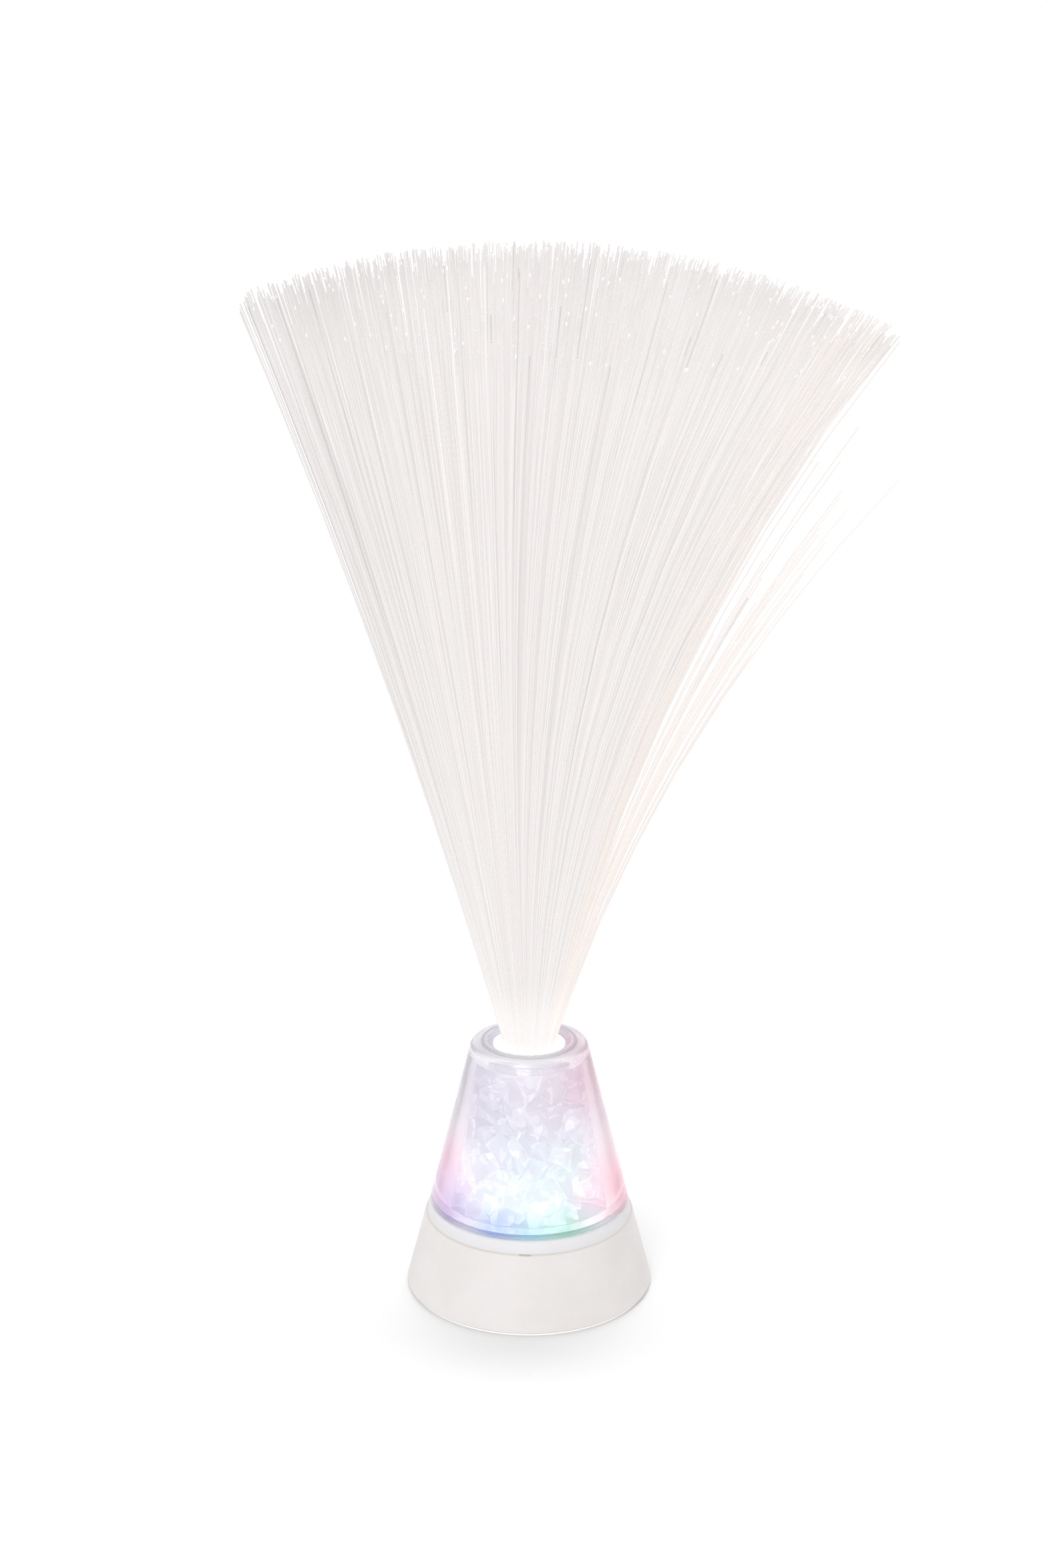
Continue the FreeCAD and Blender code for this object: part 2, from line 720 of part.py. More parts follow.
def wire_along(corners, bend, radius):
    """A round wire through corners, its bends turned at one radius."""
    points = [Vector(*c) for c in corners]
    edges = []
    here = points[0]
    for before, corner, after in zip(points, points[1:], points[2:]):
        come = (corner - before).normalize()
        leave = (after - corner).normalize()
        turn = come.getAngle(leave)
        back = bend * math.tan(turn / 2)
        start = corner - come * back
        end = corner + leave * back
        inward = (leave - come).normalize()
        middle = corner + inward * (bend / math.cos(turn / 2) - bend)
        edges.append(Part.LineSegment(here, start).toShape())
        edges.append(Part.Arc(start, middle, end).toShape())
        here = end
    edges.append(Part.LineSegment(here, points[-1]).toShape())
    path = Part.Wire(edges)
    first = edges[0].tangentAt(edges[0].FirstParameter)
    section = Part.Wire(Part.Circle(points[0], first, radius).toShape())
    return path.makePipe(Part.Face(section))


def made(label, shape):
    thing = doc.addObject("Part::Feature", label)
    thing.Shape = shape
    return part(label, thing)


def wires():
    radius = size("wire_radius")
    bend = size("wire_bend")
    wall = size("box_half_length")
    row = size("cell_pitch")
    height = size("wire_height")
    out = size("box_half_length") + size("wire_offset")
    above = size("board_top") + size("wire_rise")
    pad = size("wire_pad")
    switch_y = size("switch_y")
    terminal = size("terminal_top")
    pin = size("pin_spacing")
    made("wire_positive", wire_along([
        (wall, row, height), (out, row, height), (out, row, above),
        (pad, row, above), (pad, row, size("board_top"))], bend, radius))
    beside = size("box_half_width") + size("box_wall") + size("wire_gap") + radius
    made("wire_negative", wire_along([
        (-wall, -row, height), (-out, -row, height), (-out, -beside, height), (-pin, -beside, height),
        (-pin, switch_y, height), (-pin, switch_y, terminal)], bend, radius))
    made("wire_switch", wire_along([
        (0, switch_y, terminal), (0, switch_y, size("board_under"))], bend, radius))


# Fibres: straight in the ferrule, a short bend at the disc, then one long arc to the tip.
# They stand in rings, so that neighbours spread apart and never cross.

RAGGED_SHARE = 0.035
STRAY_COSINE = 0.87
STRAY_SHARE = (0.62, 0.92)
FIBRE_NODES = (("fibres_core", (0, 1, 2, 3)), ("fibres_ring_4", (4,)), ("fibres_ring_5", (5,)),
               ("fibres_ring_6", (6,)), ("fibres_ring_7", (7,)), ("fibres_ring_8", (8,)),
               ("fibres_ring_9", (9,)), ("fibres_ring_10", (10,)))


def fibre(ring, around_degrees, shorter):
    """One fibre of a ring, as a round rod along its path."""
    share = ring / RINGS
    turn = math.radians(around_degrees)
    outward = Vector(math.cos(turn), math.sin(turn), 0)
    up = Vector(0, 0, 1)
    foot = outward * (ring * size("fibre_pitch")) + up * size("fibre_foot")
    bend_foot = Vector(foot.x, foot.y, size("fibre_bend"))
    tilt = math.radians((size("bend_angle") + size("bend_lean") * math.cos(turn)) * share)
    edges = [Part.LineSegment(foot, bend_foot).toShape()]
    length = size("bend_length")
    if ring:
        bend = length / tilt
        middle = bend_foot + outward * (bend * (1 - math.cos(tilt / 2))) + up * (bend * math.sin(tilt / 2))
        start = bend_foot + outward * (bend * (1 - math.cos(tilt))) + up * (bend * math.sin(tilt))
        edges.append(Part.Arc(bend_foot, middle, start).toShape())
    else:
        start = bend_foot
    way = outward * math.sin(tilt) + up * math.cos(tilt)
    across = size("spray_lean") + size("spray_half_width") * share * math.cos(turn)
    deep = size("spray_half_depth") * share * math.sin(turn)
    high = size("spray_centre") + math.sqrt(size("spray_radius") ** 2 - across ** 2 - deep ** 2)
    tip = Vector(across, deep, high)
    chord = tip - start
    half = way.getAngle(chord)
    bow = (chord.normalize() - way * way.dot(chord)).normalize()
    reach = (tip - start).Length / 2 / math.sin(half)
    end = 2 * half * shorter

    def along(angle):
        return start + way * (reach * math.sin(angle)) + bow * (reach * (1 - math.cos(angle)))

    edges.append(Part.Arc(start, along(end / 2), along(end)).toShape())
    section = Part.Face(Part.Wire(Part.Circle(foot, up, size("fibre_diameter") / 2).toShape()))
    return Part.Wire(edges).makePipe(section)


def fibres():
    chance = random.Random(7)
    for label, rings in FIBRE_NODES:
        rods = []
        for ring in rings:
            count = max(1, 6 * ring)
            for i in range(count):
                shorter = 1 - RAGGED_SHARE * chance.random() ** 2
                degrees = 360.0 * i / count
                # some of the outermost fibres on the leaning side are cut shorter
                if ring == RINGS and math.cos(math.radians(degrees)) > STRAY_COSINE and i % 2:
                    shorter = chance.uniform(*STRAY_SHARE)
                rods.append(fibre(ring, degrees, shorter))
        made(label, Part.Compound(rods))


# Clear chips: convex stones in a jittered lattice, each cut by planes half way to its
# neighbours, by the walls of the chamber and by a few planes of its own.

CHIP_NODES = 6
LAYER_SHARE = 0.82
ROW_SHARE = 0.87
JITTER_SHARE = 0.3
WALL_SHARE = 0.25
REACH_SHARE = 2.2
CUT_SHARE = (0.28, 0.5)
CUTS = 3
WALL_TURNS = (-24, -12, 0, 12, 24)
SMALLEST_SHARE = 0.06


def clip(faces, point, normal):
    """A convex polyhedron, as a list of corner loops, cut by a plane that keeps the side behind it."""
    kept = []
    edge_points = []
    for loop in faces:
        fresh = []
        for here, after in zip(loop, loop[1:] + loop[:1]):
            a = (here - point).dot(normal)
            b = (after - point).dot(normal)
            if a <= 0:
                fresh.append(here)
            if (a < 0 < b) or (b < 0 < a):
                crossing = here + (after - here) * (a / (a - b))
                fresh.append(crossing)
                edge_points.append(crossing)
        if len(fresh) > 2:
            kept.append(fresh)
    if len(edge_points) > 2:
        middle = Vector()
        for spot in edge_points:
            middle += spot
        middle = middle * (1.0 / len(edge_points))
        first = (edge_points[0] - middle).normalize()
        second = normal.cross(first)

        def bearing(spot):
            return math.atan2((spot - middle).dot(second), (spot - middle).dot(first))

        loop = sorted(edge_points, key=bearing)
        cap = [q for i, q in enumerate(loop) if (q - loop[i - 1]).Length > 1e-6]
        if len(cap) > 2:
            kept.append(cap)
    return kept


def cube(centre, half):
    """A cube's six corner loops."""
    loops = []
    for axis in range(3):
        for side in (-1, 1):
            loop = []
            for u, v in ((-1, -1), (1, -1), (1, 1), (-1, 1)):
                offset = [0, 0, 0]
                offset[axis] = side * half
                offset[(axis + 1) % 3] = u * half
                offset[(axis + 2) % 3] = v * half
                loop.append(centre + Vector(*offset))
            loops.append(loop)
    return loops


def chip_sites(chance):
    """Jittered places between the light tube and the clear wall."""
    step = size("chip_spacing")
    low = size("floor_top")
    high = size("chamber_roof")
    foot = size("chamber_foot_radius")
    fall = (foot - size("chamber_top_radius")) / (high - low)
    sites = []
    layers = int((high - low) / (step * LAYER_SHARE)) + 1
    reach = int(foot / step) + 2
    for layer in range(layers):
        z = low + step * (LAYER_SHARE * (layer + 0.5))
        shift = 0.5 * (layer % 2)
        for i in range(-reach, reach + 1):
            for j in range(-reach, reach + 1):
                x = (i + shift + 0.5 * (j % 2)) * step
                y = (j + shift / 2) * step * ROW_SHARE
                jitter = [step * JITTER_SHARE * chance.uniform(-1, 1) for _ in range(3)]
                site = Vector(x, y, z) + Vector(*jitter)
                near = size("tube_radius") + WALL_SHARE * step
                far = foot - fall * (site.z - low) - WALL_SHARE * step
                if near < math.hypot(site.x, site.y) < far:
                    sites.append(site)
    return sites


def chip(site, sites, chance):
    """One chip as a list of corner loops."""
    step = size("chip_spacing")
    loops = cube(site, step)
    for other in sites:
        apart = other - site
        if 1e-6 < apart.Length < REACH_SHARE * step:
            normal = Vector(apart).normalize()
            loops = clip(loops, site + apart * 0.5 - normal * (size("chip_gap") / 2), normal)
    outward = Vector(site.x, site.y, 0).normalize()
    low = size("floor_top") + size("chip_clearance")
    high = size("chamber_roof") - size("chip_clearance")
    loops = clip(loops, Vector(0, 0, low), Vector(0, 0, -1))
    loops = clip(loops, Vector(0, 0, high), Vector(0, 0, 1))
    loops = clip(loops, outward * (size("tube_radius") + size("chip_clearance")), outward * -1)
    narrowing = size("chamber_foot_radius") - size("chamber_top_radius")
    fall = narrowing / (size("chamber_roof") - size("floor_top"))
    for turn in WALL_TURNS:
        side = FreeCAD.Rotation(Vector(0, 0, 1), turn).multVec(outward)
        rim = side * (size("chamber_foot_radius") - 1.5 * size("chip_clearance"))
        rim += Vector(0, 0, size("floor_top"))
        loops = clip(loops, rim, (side + Vector(0, 0, fall)).normalize())
    for _ in range(CUTS):
        way = Vector(*[chance.gauss(0, 1) for _ in range(3)]).normalize()
        loops = clip(loops, site + way * (step * chance.uniform(*CUT_SHARE)), way)
    return loops


def solid_of(loops):
    faces = []
    for loop in loops:
        tidy = [q for i, q in enumerate(loop) if (q - loop[i - 1]).Length > 1e-5]
        if len(tidy) > 2:
            faces.append(Part.Face(Part.makePolygon(tidy + tidy[:1])))
    shell = Part.makeShell(faces)
    solid = Part.Solid(shell)
    if solid.Volume < 0:
        solid.reverse()
    return solid


def crystal_chips():
    chance = random.Random(11)
    sites = chip_sites(chance)
    piles = [[] for _ in range(CHIP_NODES)]
    low = size("floor_top")
    tall = size("chamber_roof") - low
    for site in sites:
        loops = chip(site, sites, chance)
        if len(loops) > 3:
            solid = solid_of(loops)
            if solid.isValid() and solid.Volume > SMALLEST_SHARE * size("chip_spacing") ** 3:
                layer = min(CHIP_NODES - 1, int(CHIP_NODES * (site.z - low) / tall))
                piles[layer].append(solid)
    for number, pile in enumerate(piles, start=1):
        made("crystal_chips_%d" % number, Part.Compound(pile))


def build():
    base_housing()
    bottom_plate()
    battery_door()
    for number, (row, way) in enumerate(zip(CELL_ROWS, (1, -1, 1)), start=1):
        battery(number, row, way)
    part("contact_positive", contact(1, (1,)))
    part("contact_negative", contact(-1, (-1,)))
    part("bridge_contact_front", contact(1, (-1, 0)))
    part("bridge_contact_rear", contact(-1, (0, 1)))
    circuit_board()
    board_parts()
    led_white()
    for colour, degrees in LED_PLACES.items():
        led(colour, degrees)
    switch()
    wires()
    screws()
    foot_ring()
    chamber_floor()
    light_tube()
    clear_body()
    top_collar()
    fibre_disc()
    fibre_ferrule()
    fibres()
    crystal_chips()
    doc.recompute()


def export():
    for thing in doc.Objects:
        if "Invalid" in thing.State or "Error" in thing.State:
            raise RuntimeError("%s (%s) didn't build" % (thing.Label, thing.Name))
    os.makedirs("parts", exist_ok=True)
    for thing in PARTS:
        if thing.Shape.isNull() or not thing.Shape.isValid():
            raise RuntimeError(thing.Label + " isn't a valid shape")
        thing.Shape.exportStep("parts/%s.step" % thing.Label)
        print("%-22s %4d solids %10.1f mm3" % (thing.Label, len(thing.Shape.Solids), thing.Shape.Volume))


build()
export()
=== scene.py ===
import math
from functools import partial
import bpy
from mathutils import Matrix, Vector


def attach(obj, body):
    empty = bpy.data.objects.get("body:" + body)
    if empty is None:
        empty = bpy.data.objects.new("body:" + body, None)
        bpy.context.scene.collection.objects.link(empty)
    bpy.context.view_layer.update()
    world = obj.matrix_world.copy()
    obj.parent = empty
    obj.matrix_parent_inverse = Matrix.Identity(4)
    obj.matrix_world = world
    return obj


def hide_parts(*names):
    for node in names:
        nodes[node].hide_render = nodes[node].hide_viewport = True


# Fibre optic lamp: white base, clear cone of lit chips, a spray of fibres.
# Metres, z up, the front towards -y, the fibres lean towards +x.

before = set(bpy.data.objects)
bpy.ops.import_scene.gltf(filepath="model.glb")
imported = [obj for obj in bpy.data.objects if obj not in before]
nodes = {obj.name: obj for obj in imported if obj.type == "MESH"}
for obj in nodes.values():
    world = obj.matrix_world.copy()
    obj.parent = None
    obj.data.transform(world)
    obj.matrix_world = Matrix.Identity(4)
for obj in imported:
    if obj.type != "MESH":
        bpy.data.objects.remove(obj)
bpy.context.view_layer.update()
print("frame loaded")


# small helpers

def linear(hexColour):
    # "#RRGGBB" in sRGB as linear RGBA
    parts = [int(hexColour[i:i + 2], 16) / 255 for i in (1, 3, 5)]
    lin = [c / 12.92 if c <= 0.04045 else ((c + 0.055) / 1.055) ** 2.4 for c in parts]
    return (*lin, 1.0)


def addNode(tree, kind, inputs=(), out=0, **settings):
    # one node: settings, inputs set or linked (a list in order, or by name), one output given back
    node = tree.nodes.new(kind)
    for name, value in settings.items():
        setattr(node, name, value)
    for key, value in inputs.items() if isinstance(inputs, dict) else enumerate(inputs):
        if isinstance(value, bpy.types.NodeSocket):
            tree.links.new(value, node.inputs[key])
        else:
            node.inputs[key].default_value = value
    return node.outputs[out] if node.outputs else None


def newMaterial(name):
    # an empty material, and addNode for its tree
    material = bpy.data.materials.new(name)
    material.use_nodes = True
    material.node_tree.nodes.clear()
    return material, partial(addNode, material.node_tree)


def patternScale(millimetres):
    # noise scale for a pattern of this size, on coordinates in metres
    return 1000.0 / millimetres


maths = "ShaderNodeMath"
vectorMaths = "ShaderNodeVectorMath"
mapRange = "ShaderNodeMapRange"
mixer = "ShaderNodeMix"
pureWhite = linear("#FFFFFF")
acrylicIndex = 1.49  # refraction
fineDetail = 2.0
richDetail = 3.0

# light of the coloured LEDs, as a colour by place: x, y, z, reach in metres, colour, share

chipLight = {
    "ground": "#EAEDF1",
    "spots": [
        (0.004, -0.022, 0.046, 0.0375, "#D6F8F7", 0.85),
        (-0.012, -0.030, 0.031, 0.0150, "#CCDCF2", 0.75),
        (0.012, -0.030, 0.031, 0.01625, "#CFF5E4", 0.75),
        (0.020, -0.018, 0.050, 0.0200, "#CFF7E4", 0.75),
        (-0.014, -0.010, 0.070, 0.0450, "#E2DDEA", 0.85),
        (0.018, -0.002, 0.082, 0.0375, "#F6C6DC", 0.90),
        (0.030, -0.010, 0.038, 0.0275, "#FFB2CA", 0.95),
        (0.027, 0.002, 0.060, 0.0200, "#EECBEE", 0.80),
        (-0.028, -0.006, 0.042, 0.0225, "#EFBFDC", 0.85),
        (-0.027, -0.016, 0.036, 0.0175, "#D6D0E8", 0.75),
    ],
}
wallLight = {
    "ground": "#F2F1F5",
    "spots": [
        (-0.034, -0.002, 0.042, 0.0225, "#DCAED4", 0.90),
        (-0.031, -0.004, 0.052, 0.0150, "#F4BACC", 0.70),
        (-0.028, -0.018, 0.034, 0.01625, "#C0B4E0", 0.75),
        (-0.024, 0.000, 0.074, 0.0275, "#DCD6E2", 0.80),
        (0.034, -0.002, 0.040, 0.02375, "#F4AABE", 0.90),
        (0.030, 0.000, 0.060, 0.0200, "#ECD8E0", 0.80),
        (0.024, 0.000, 0.080, 0.0250, "#E8C6D4", 0.85),
        (-0.012, -0.033, 0.031, 0.01625, "#92B4EE", 0.65),
        (0.001, -0.035, 0.031, 0.0125, "#96DCEC", 0.60),
        (0.014, -0.032, 0.031, 0.0150, "#9CE2C6", 0.65),
    ],
}


def glowColour(add, place, lights):
    # each light tints the clear plastic round it
    colour = linear(lights["ground"])
    for x, y, z, reach, tint, share in lights["spots"]:
        apart = add(vectorMaths, [place, (x, y, z)], out="Value", operation="DISTANCE")
        weight = add(mapRange, [apart, 0.0, reach, share, 0.0], interpolation_type="SMOOTHSTEP")
        colour = add(mixer, {0: weight, 6: colour, 7: linear(tint)}, out=2, data_type="RGBA")
    return colour


# materials

whitePlastic = {
    "colour": "#E9E5E4", "shade": "#E5E1DF", "mottle": 16.67, "mottleFrom": 0.35, "mottleTo": 0.70,
    "seam": 0.0270, "seamDepth": 0.0007, "seamShadowColour": "#D2C4B8", "seamShadowShare": 0.6,
    "smoothest": 0.32, "roughest": 0.42, "roughFrom": 0.30, "roughTo": 0.70,
    "grain": 0.4545, "grainBump": 0.06, "grainDepth": 0.00005,
    "within": 0.12, "withinReach": 0.004, "index": 1.54,
}


def mouldedAbs():
    # white ABS from a satin mould: even, faintly mottled, soft wide highlight, a warm painted shadow line
    # along the top edge under the seam
    look = whitePlastic
    material, add = newMaterial("white ABS, injection moulded")
    place = add("ShaderNodeTexCoord", out="Object")
    height = add("ShaderNodeSeparateXYZ", [place], out="Z")
    mottle = add("ShaderNodeTexNoise",
                 {"Vector": place, "Scale": patternScale(look["mottle"]), "Detail": richDetail})
    grain = add("ShaderNodeTexNoise",
                {"Vector": place, "Scale": patternScale(look["grain"]), "Detail": fineDetail})
    patch = add(mapRange, [mottle, look["mottleFrom"], look["mottleTo"], 0.0, 1.0],
                interpolation_type="SMOOTHSTEP")
    colour = add(mixer, {0: patch, 6: linear(look["colour"]), 7: linear(look["shade"])},
                 out=2, data_type="RGBA")
    # painted shadow: a warm darker band just under the seam, where the clear body sits on the housing
    seamFoot = look["seam"] - look["seamDepth"]
    seam = add(mapRange, [height, seamFoot, look["seam"], 0.0, look["seamShadowShare"]],
               interpolation_type="SMOOTHSTEP")
    colour = add(mixer, {0: seam, 6: colour, 7: linear(look["seamShadowColour"])}, out=2, data_type="RGBA")
    rough = add(mapRange,
                [mottle, look["roughFrom"], look["roughTo"], look["smoothest"], look["roughest"]],
                interpolation_type="SMOOTHSTEP")
    bump = add("ShaderNodeBump", {"Height": grain, "Strength": look["grainBump"],
                                  "Distance": look["grainDepth"]})
    shader = add("ShaderNodeBsdfPrincipled",
                 {"Base Color": colour, "Roughness": rough, "IOR": look["index"],
                  "Subsurface Weight": look["within"], "Subsurface Scale": look["withinReach"],
                  "Normal": bump})
    add("ShaderNodeOutputMaterial", {"Surface": shader})
    return material


clearWall = {
    "roughness": 0.03, "hazeRoughness": 0.40, "hazeColour": "#EAEAEC", "milk": 0.16, "paleFull": 0.8,
    "footHaze": 0.80, "footFrom": 0.0305, "footTo": 0.0325,
    "topHaze": 0.45, "topFrom": 0.0870, "topTo": 0.0893,
    "lowGlow": 0.09, "highGlow": 0.06, "hazeGlow": -0.01, "glowFrom": 0.040, "glowTo": 0.075,
    "flow": 11.11, "flowBump": 0.05, "flowDepth": 0.0002,
    "absorb": "#F0E8EC", "density": 5.0, "guided": "#DEC6D0", "carried": 5.0,
}
clearCollar = {
    **clearWall,
    "roughness": 0.05, "milk": 0.25, "footHaze": 0.0, "topHaze": 0.40,
    "lowGlow": 0.06, "highGlow": 0.06, "hazeGlow": 0.05,
    "absorb": "#F4F4F6", "density": 2.0, "guided": "#E8E0E8", "carried": 4.0,
}


def polishedAcrylic(name, look):
    # clear acrylic from a polished mould, hazy at the foot and the shoulder, tinted by the lights
    material, add = newMaterial(name)
    place = add("ShaderNodeTexCoord", out="Object")
    height = add("ShaderNodeSeparateXYZ", [place], out="Z")
    foot = add(mapRange, [height, look["footFrom"], look["footTo"], look["footHaze"], 0.0],
               interpolation_type="SMOOTHSTEP")
    top = add(mapRange, [height, look["topFrom"], look["topTo"], 0.0, look["topHaze"]],
              interpolation_type="SMOOTHSTEP")
    ends = add(maths, [foot, top], operation="MAXIMUM")
    haze = add(maths, [ends, look["milk"]], operation="MAXIMUM")
    pale = add(mapRange, [haze, look["milk"], look["paleFull"], 0.0, 1.0], interpolation_type="SMOOTHSTEP")
    colour = add(mixer, {0: pale, 6: glowColour(add, place, wallLight), 7: linear(look["hazeColour"])},
                 out=2, data_type="RGBA")
    rough = add(maths, [pale, look["hazeRoughness"], look["roughness"]], operation="MULTIPLY_ADD")
    glow = add(mapRange, [height, look["glowFrom"], look["glowTo"], look["lowGlow"], look["highGlow"]],
               interpolation_type="SMOOTHSTEP")
    glow = add(maths, [pale, look["hazeGlow"], glow], operation="MULTIPLY_ADD")
    flow = add("ShaderNodeTexNoise",
               {"Vector": place, "Scale": patternScale(look["flow"]), "Detail": fineDetail})
    bump = add("ShaderNodeBump", {"Height": flow, "Strength": look["flowBump"],
                                  "Distance": look["flowDepth"]})
    shader = add("ShaderNodeBsdfPrincipled",
                 {"Base Color": colour, "Roughness": rough, "IOR": acrylicIndex,
                  "Transmission Weight": add(maths, [1.0, haze], operation="SUBTRACT"),
                  "Emission Color": colour, "Emission Strength": glow, "Normal": bump})
    # the wall carries light along itself, so it is brightest where it is seen edge on
    absorb = add("ShaderNodeVolumeAbsorption",
                 {"Color": linear(look["absorb"]), "Density": look["density"]})
    carried = add("ShaderNodeEmission", {"Color": linear(look["guided"]), "Strength": look["carried"]})
    inside = add("ShaderNodeAddShader", [absorb, carried])
    add("ShaderNodeOutputMaterial", {"Surface": shader, "Volume": inside})
    return material


frosted = {
    "tint": "#F6F8FC", "shadow": "#3F637B", "roughness": 0.45, "through": 0.25, "glow": 0.12,
    "line": 0.55, "lines": [(0.0320, 0.0003, 0.0006), (0.0306, 0.0002, 0.0005)],
    "grain": 0.6667, "grainBump": 0.15, "grainDepth": 0.0001,
}


def frostedAcrylic():
    # clear acrylic with a blasted skin, lit from below: two lines run round its upper edge, a painted groove
    # shadow in the base colour with the lights' colours painted in as glow
    look = frosted
    material, add = newMaterial("frosted acrylic, blasted mould")
    place = add("ShaderNodeTexCoord", out="Object")
    height = add("ShaderNodeSeparateXYZ", [place], out="Z")
    line = 0.0
    for level, core, edge in look["lines"]:
        off = add(maths, [add(maths, [height, level], operation="SUBTRACT")], operation="ABSOLUTE")
        band = add(mapRange, [off, core, edge, look["line"], 0.0], interpolation_type="SMOOTHSTEP")
        line = add(maths, [band, line], operation="MAXIMUM")
    colour = add(mixer, {0: line, 6: linear(look["tint"]), 7: glowColour(add, place, wallLight)},
                 out=2, data_type="RGBA")
    # painted shade: along the lines the base colour turns to the dark shadow colour
    dark = add(mixer, {0: line, 6: colour, 7: linear(look["shadow"])}, out=2, data_type="RGBA")
    grain = add("ShaderNodeTexNoise",
                {"Vector": place, "Scale": patternScale(look["grain"]), "Detail": richDetail})
    bump = add("ShaderNodeBump", {"Height": grain, "Strength": look["grainBump"],
                                  "Distance": look["grainDepth"]})
    shader = add("ShaderNodeBsdfPrincipled",
                 {"Base Color": dark, "Roughness": look["roughness"], "IOR": acrylicIndex,
                  "Transmission Weight": look["through"], "Emission Color": colour,
                  "Emission Strength": look["glow"], "Normal": bump})
    add("ShaderNodeOutputMaterial", {"Surface": shader})
    return material


chips = {
    "roughness": 0.06, "see": 0.50, "pale": 0.7, "paleColour": "#E8EBEF",
    "facetTurn": 3.0, "facetSize": 11.11,
    "dim": 0.09, "bright": 0.23, "dimFrom": 0.42, "brightFrom": 0.60,
    "sparkScale": 2.6, "flash": 0.12, "flashFrom": 0.585, "flashTo": 0.615, "flashColour": "#FCFEFF",
    "glintFrom": 0.34, "glintTo": 0.30, "glintColour": "#FF9AB4",
    "lowLift": 1.3, "liftFrom": 0.036, "liftTo": 0.072,
}


def chipAcrylic():
    # broken clear acrylic: every facet catches another share of the light
    look = chips
    material, add = newMaterial("clear acrylic chips, broken faces")
    place = add("ShaderNodeTexCoord", out="Object")
    height = add("ShaderNodeSeparateXYZ", [place], out="Z")
    normal = add("ShaderNodeNewGeometry", out="True Normal")
    turned = add(vectorMaths, [normal, (look["facetTurn"],) * 3], operation="MULTIPLY")
    placed = add(vectorMaths, [place, (patternScale(look["facetSize"]),) * 3], operation="MULTIPLY")
    key = add(vectorMaths, [turned, placed], operation="ADD")
    facet = add("ShaderNodeTexNoise", {"Vector": key, "Scale": 1.0, "Detail": 1.0})
    spark = add("ShaderNodeTexNoise", {"Vector": key, "Scale": look["sparkScale"], "Detail": 1.0})
    light = add(mapRange, [facet, look["dimFrom"], look["brightFrom"], look["dim"], look["bright"]],
                interpolation_type="SMOOTHSTEP")
    white = add(mapRange, [spark, look["flashFrom"], look["flashTo"], 0.0, 1.0],
                interpolation_type="SMOOTHSTEP")
    glint = add(mapRange, [spark, look["glintFrom"], look["glintTo"], 0.0, 1.0],
                interpolation_type="SMOOTHSTEP")
    light = add(maths, [white, look["flash"], light], operation="MULTIPLY_ADD")
    lift = add(mapRange, [height, look["liftFrom"], look["liftTo"], look["lowLift"], 1.0],
               interpolation_type="SMOOTHSTEP")
    light = add(maths, [light, lift], operation="MULTIPLY")
    glow = glowColour(add, place, chipLight)
    colour = add(mixer, {0: white, 6: glow, 7: linear(look["flashColour"])}, out=2, data_type="RGBA")
    colour = add(mixer, {0: glint, 6: colour, 7: linear(look["glintColour"])}, out=2, data_type="RGBA")
    body = add(mixer, {0: look["pale"], 6: glow, 7: linear(look["paleColour"])},
               out=2, data_type="RGBA")
    shader = add("ShaderNodeBsdfPrincipled",
                 {"Base Color": body, "Roughness": look["roughness"], "IOR": acrylicIndex,
                  "Transmission Weight": look["see"], "Emission Color": colour,
                  "Emission Strength": light})
    add("ShaderNodeOutputMaterial", {"Surface": shader})
    return material


litDisc = {
    "colour": "#EDEDF0", "roughness": 0.4, "leastGlow": 0.23, "mostGlow": 0.33,
    "mottle": 3.333, "mottleFrom": 0.30, "mottleTo": 0.70,
}


def litPlastic():
    # milky white plastic that glows evenly
    look = litDisc
    material, add = newMaterial("translucent white plastic, injection moulded")
    place = add("ShaderNodeTexCoord", out="Object")
    mottle = add("ShaderNodeTexNoise",
                 {"Vector": place, "Scale": patternScale(look["mottle"]), "Detail": fineDetail})
    glow = add(mapRange,
               [mottle, look["mottleFrom"], look["mottleTo"], look["leastGlow"], look["mostGlow"]],
               interpolation_type="SMOOTHSTEP")
    shader = add("ShaderNodeBsdfPrincipled",
                 {"Base Color": linear(look["colour"]), "Roughness": look["roughness"], "IOR": acrylicIndex,
                  "Emission Color": pureWhite, "Emission Strength": glow})
    add("ShaderNodeOutputMaterial", {"Surface": shader})
    return material


paintLook = {
    "mottleFrom": 0.30, "mottleTo": 0.75, "roughTo": 0.70, "worn": 0.84, "smoother": 0.05,
    "rougher": 0.08, "smoothest": 0.05, "bump": 0.08, "depth": 0.0001, "index": 1.5,
}


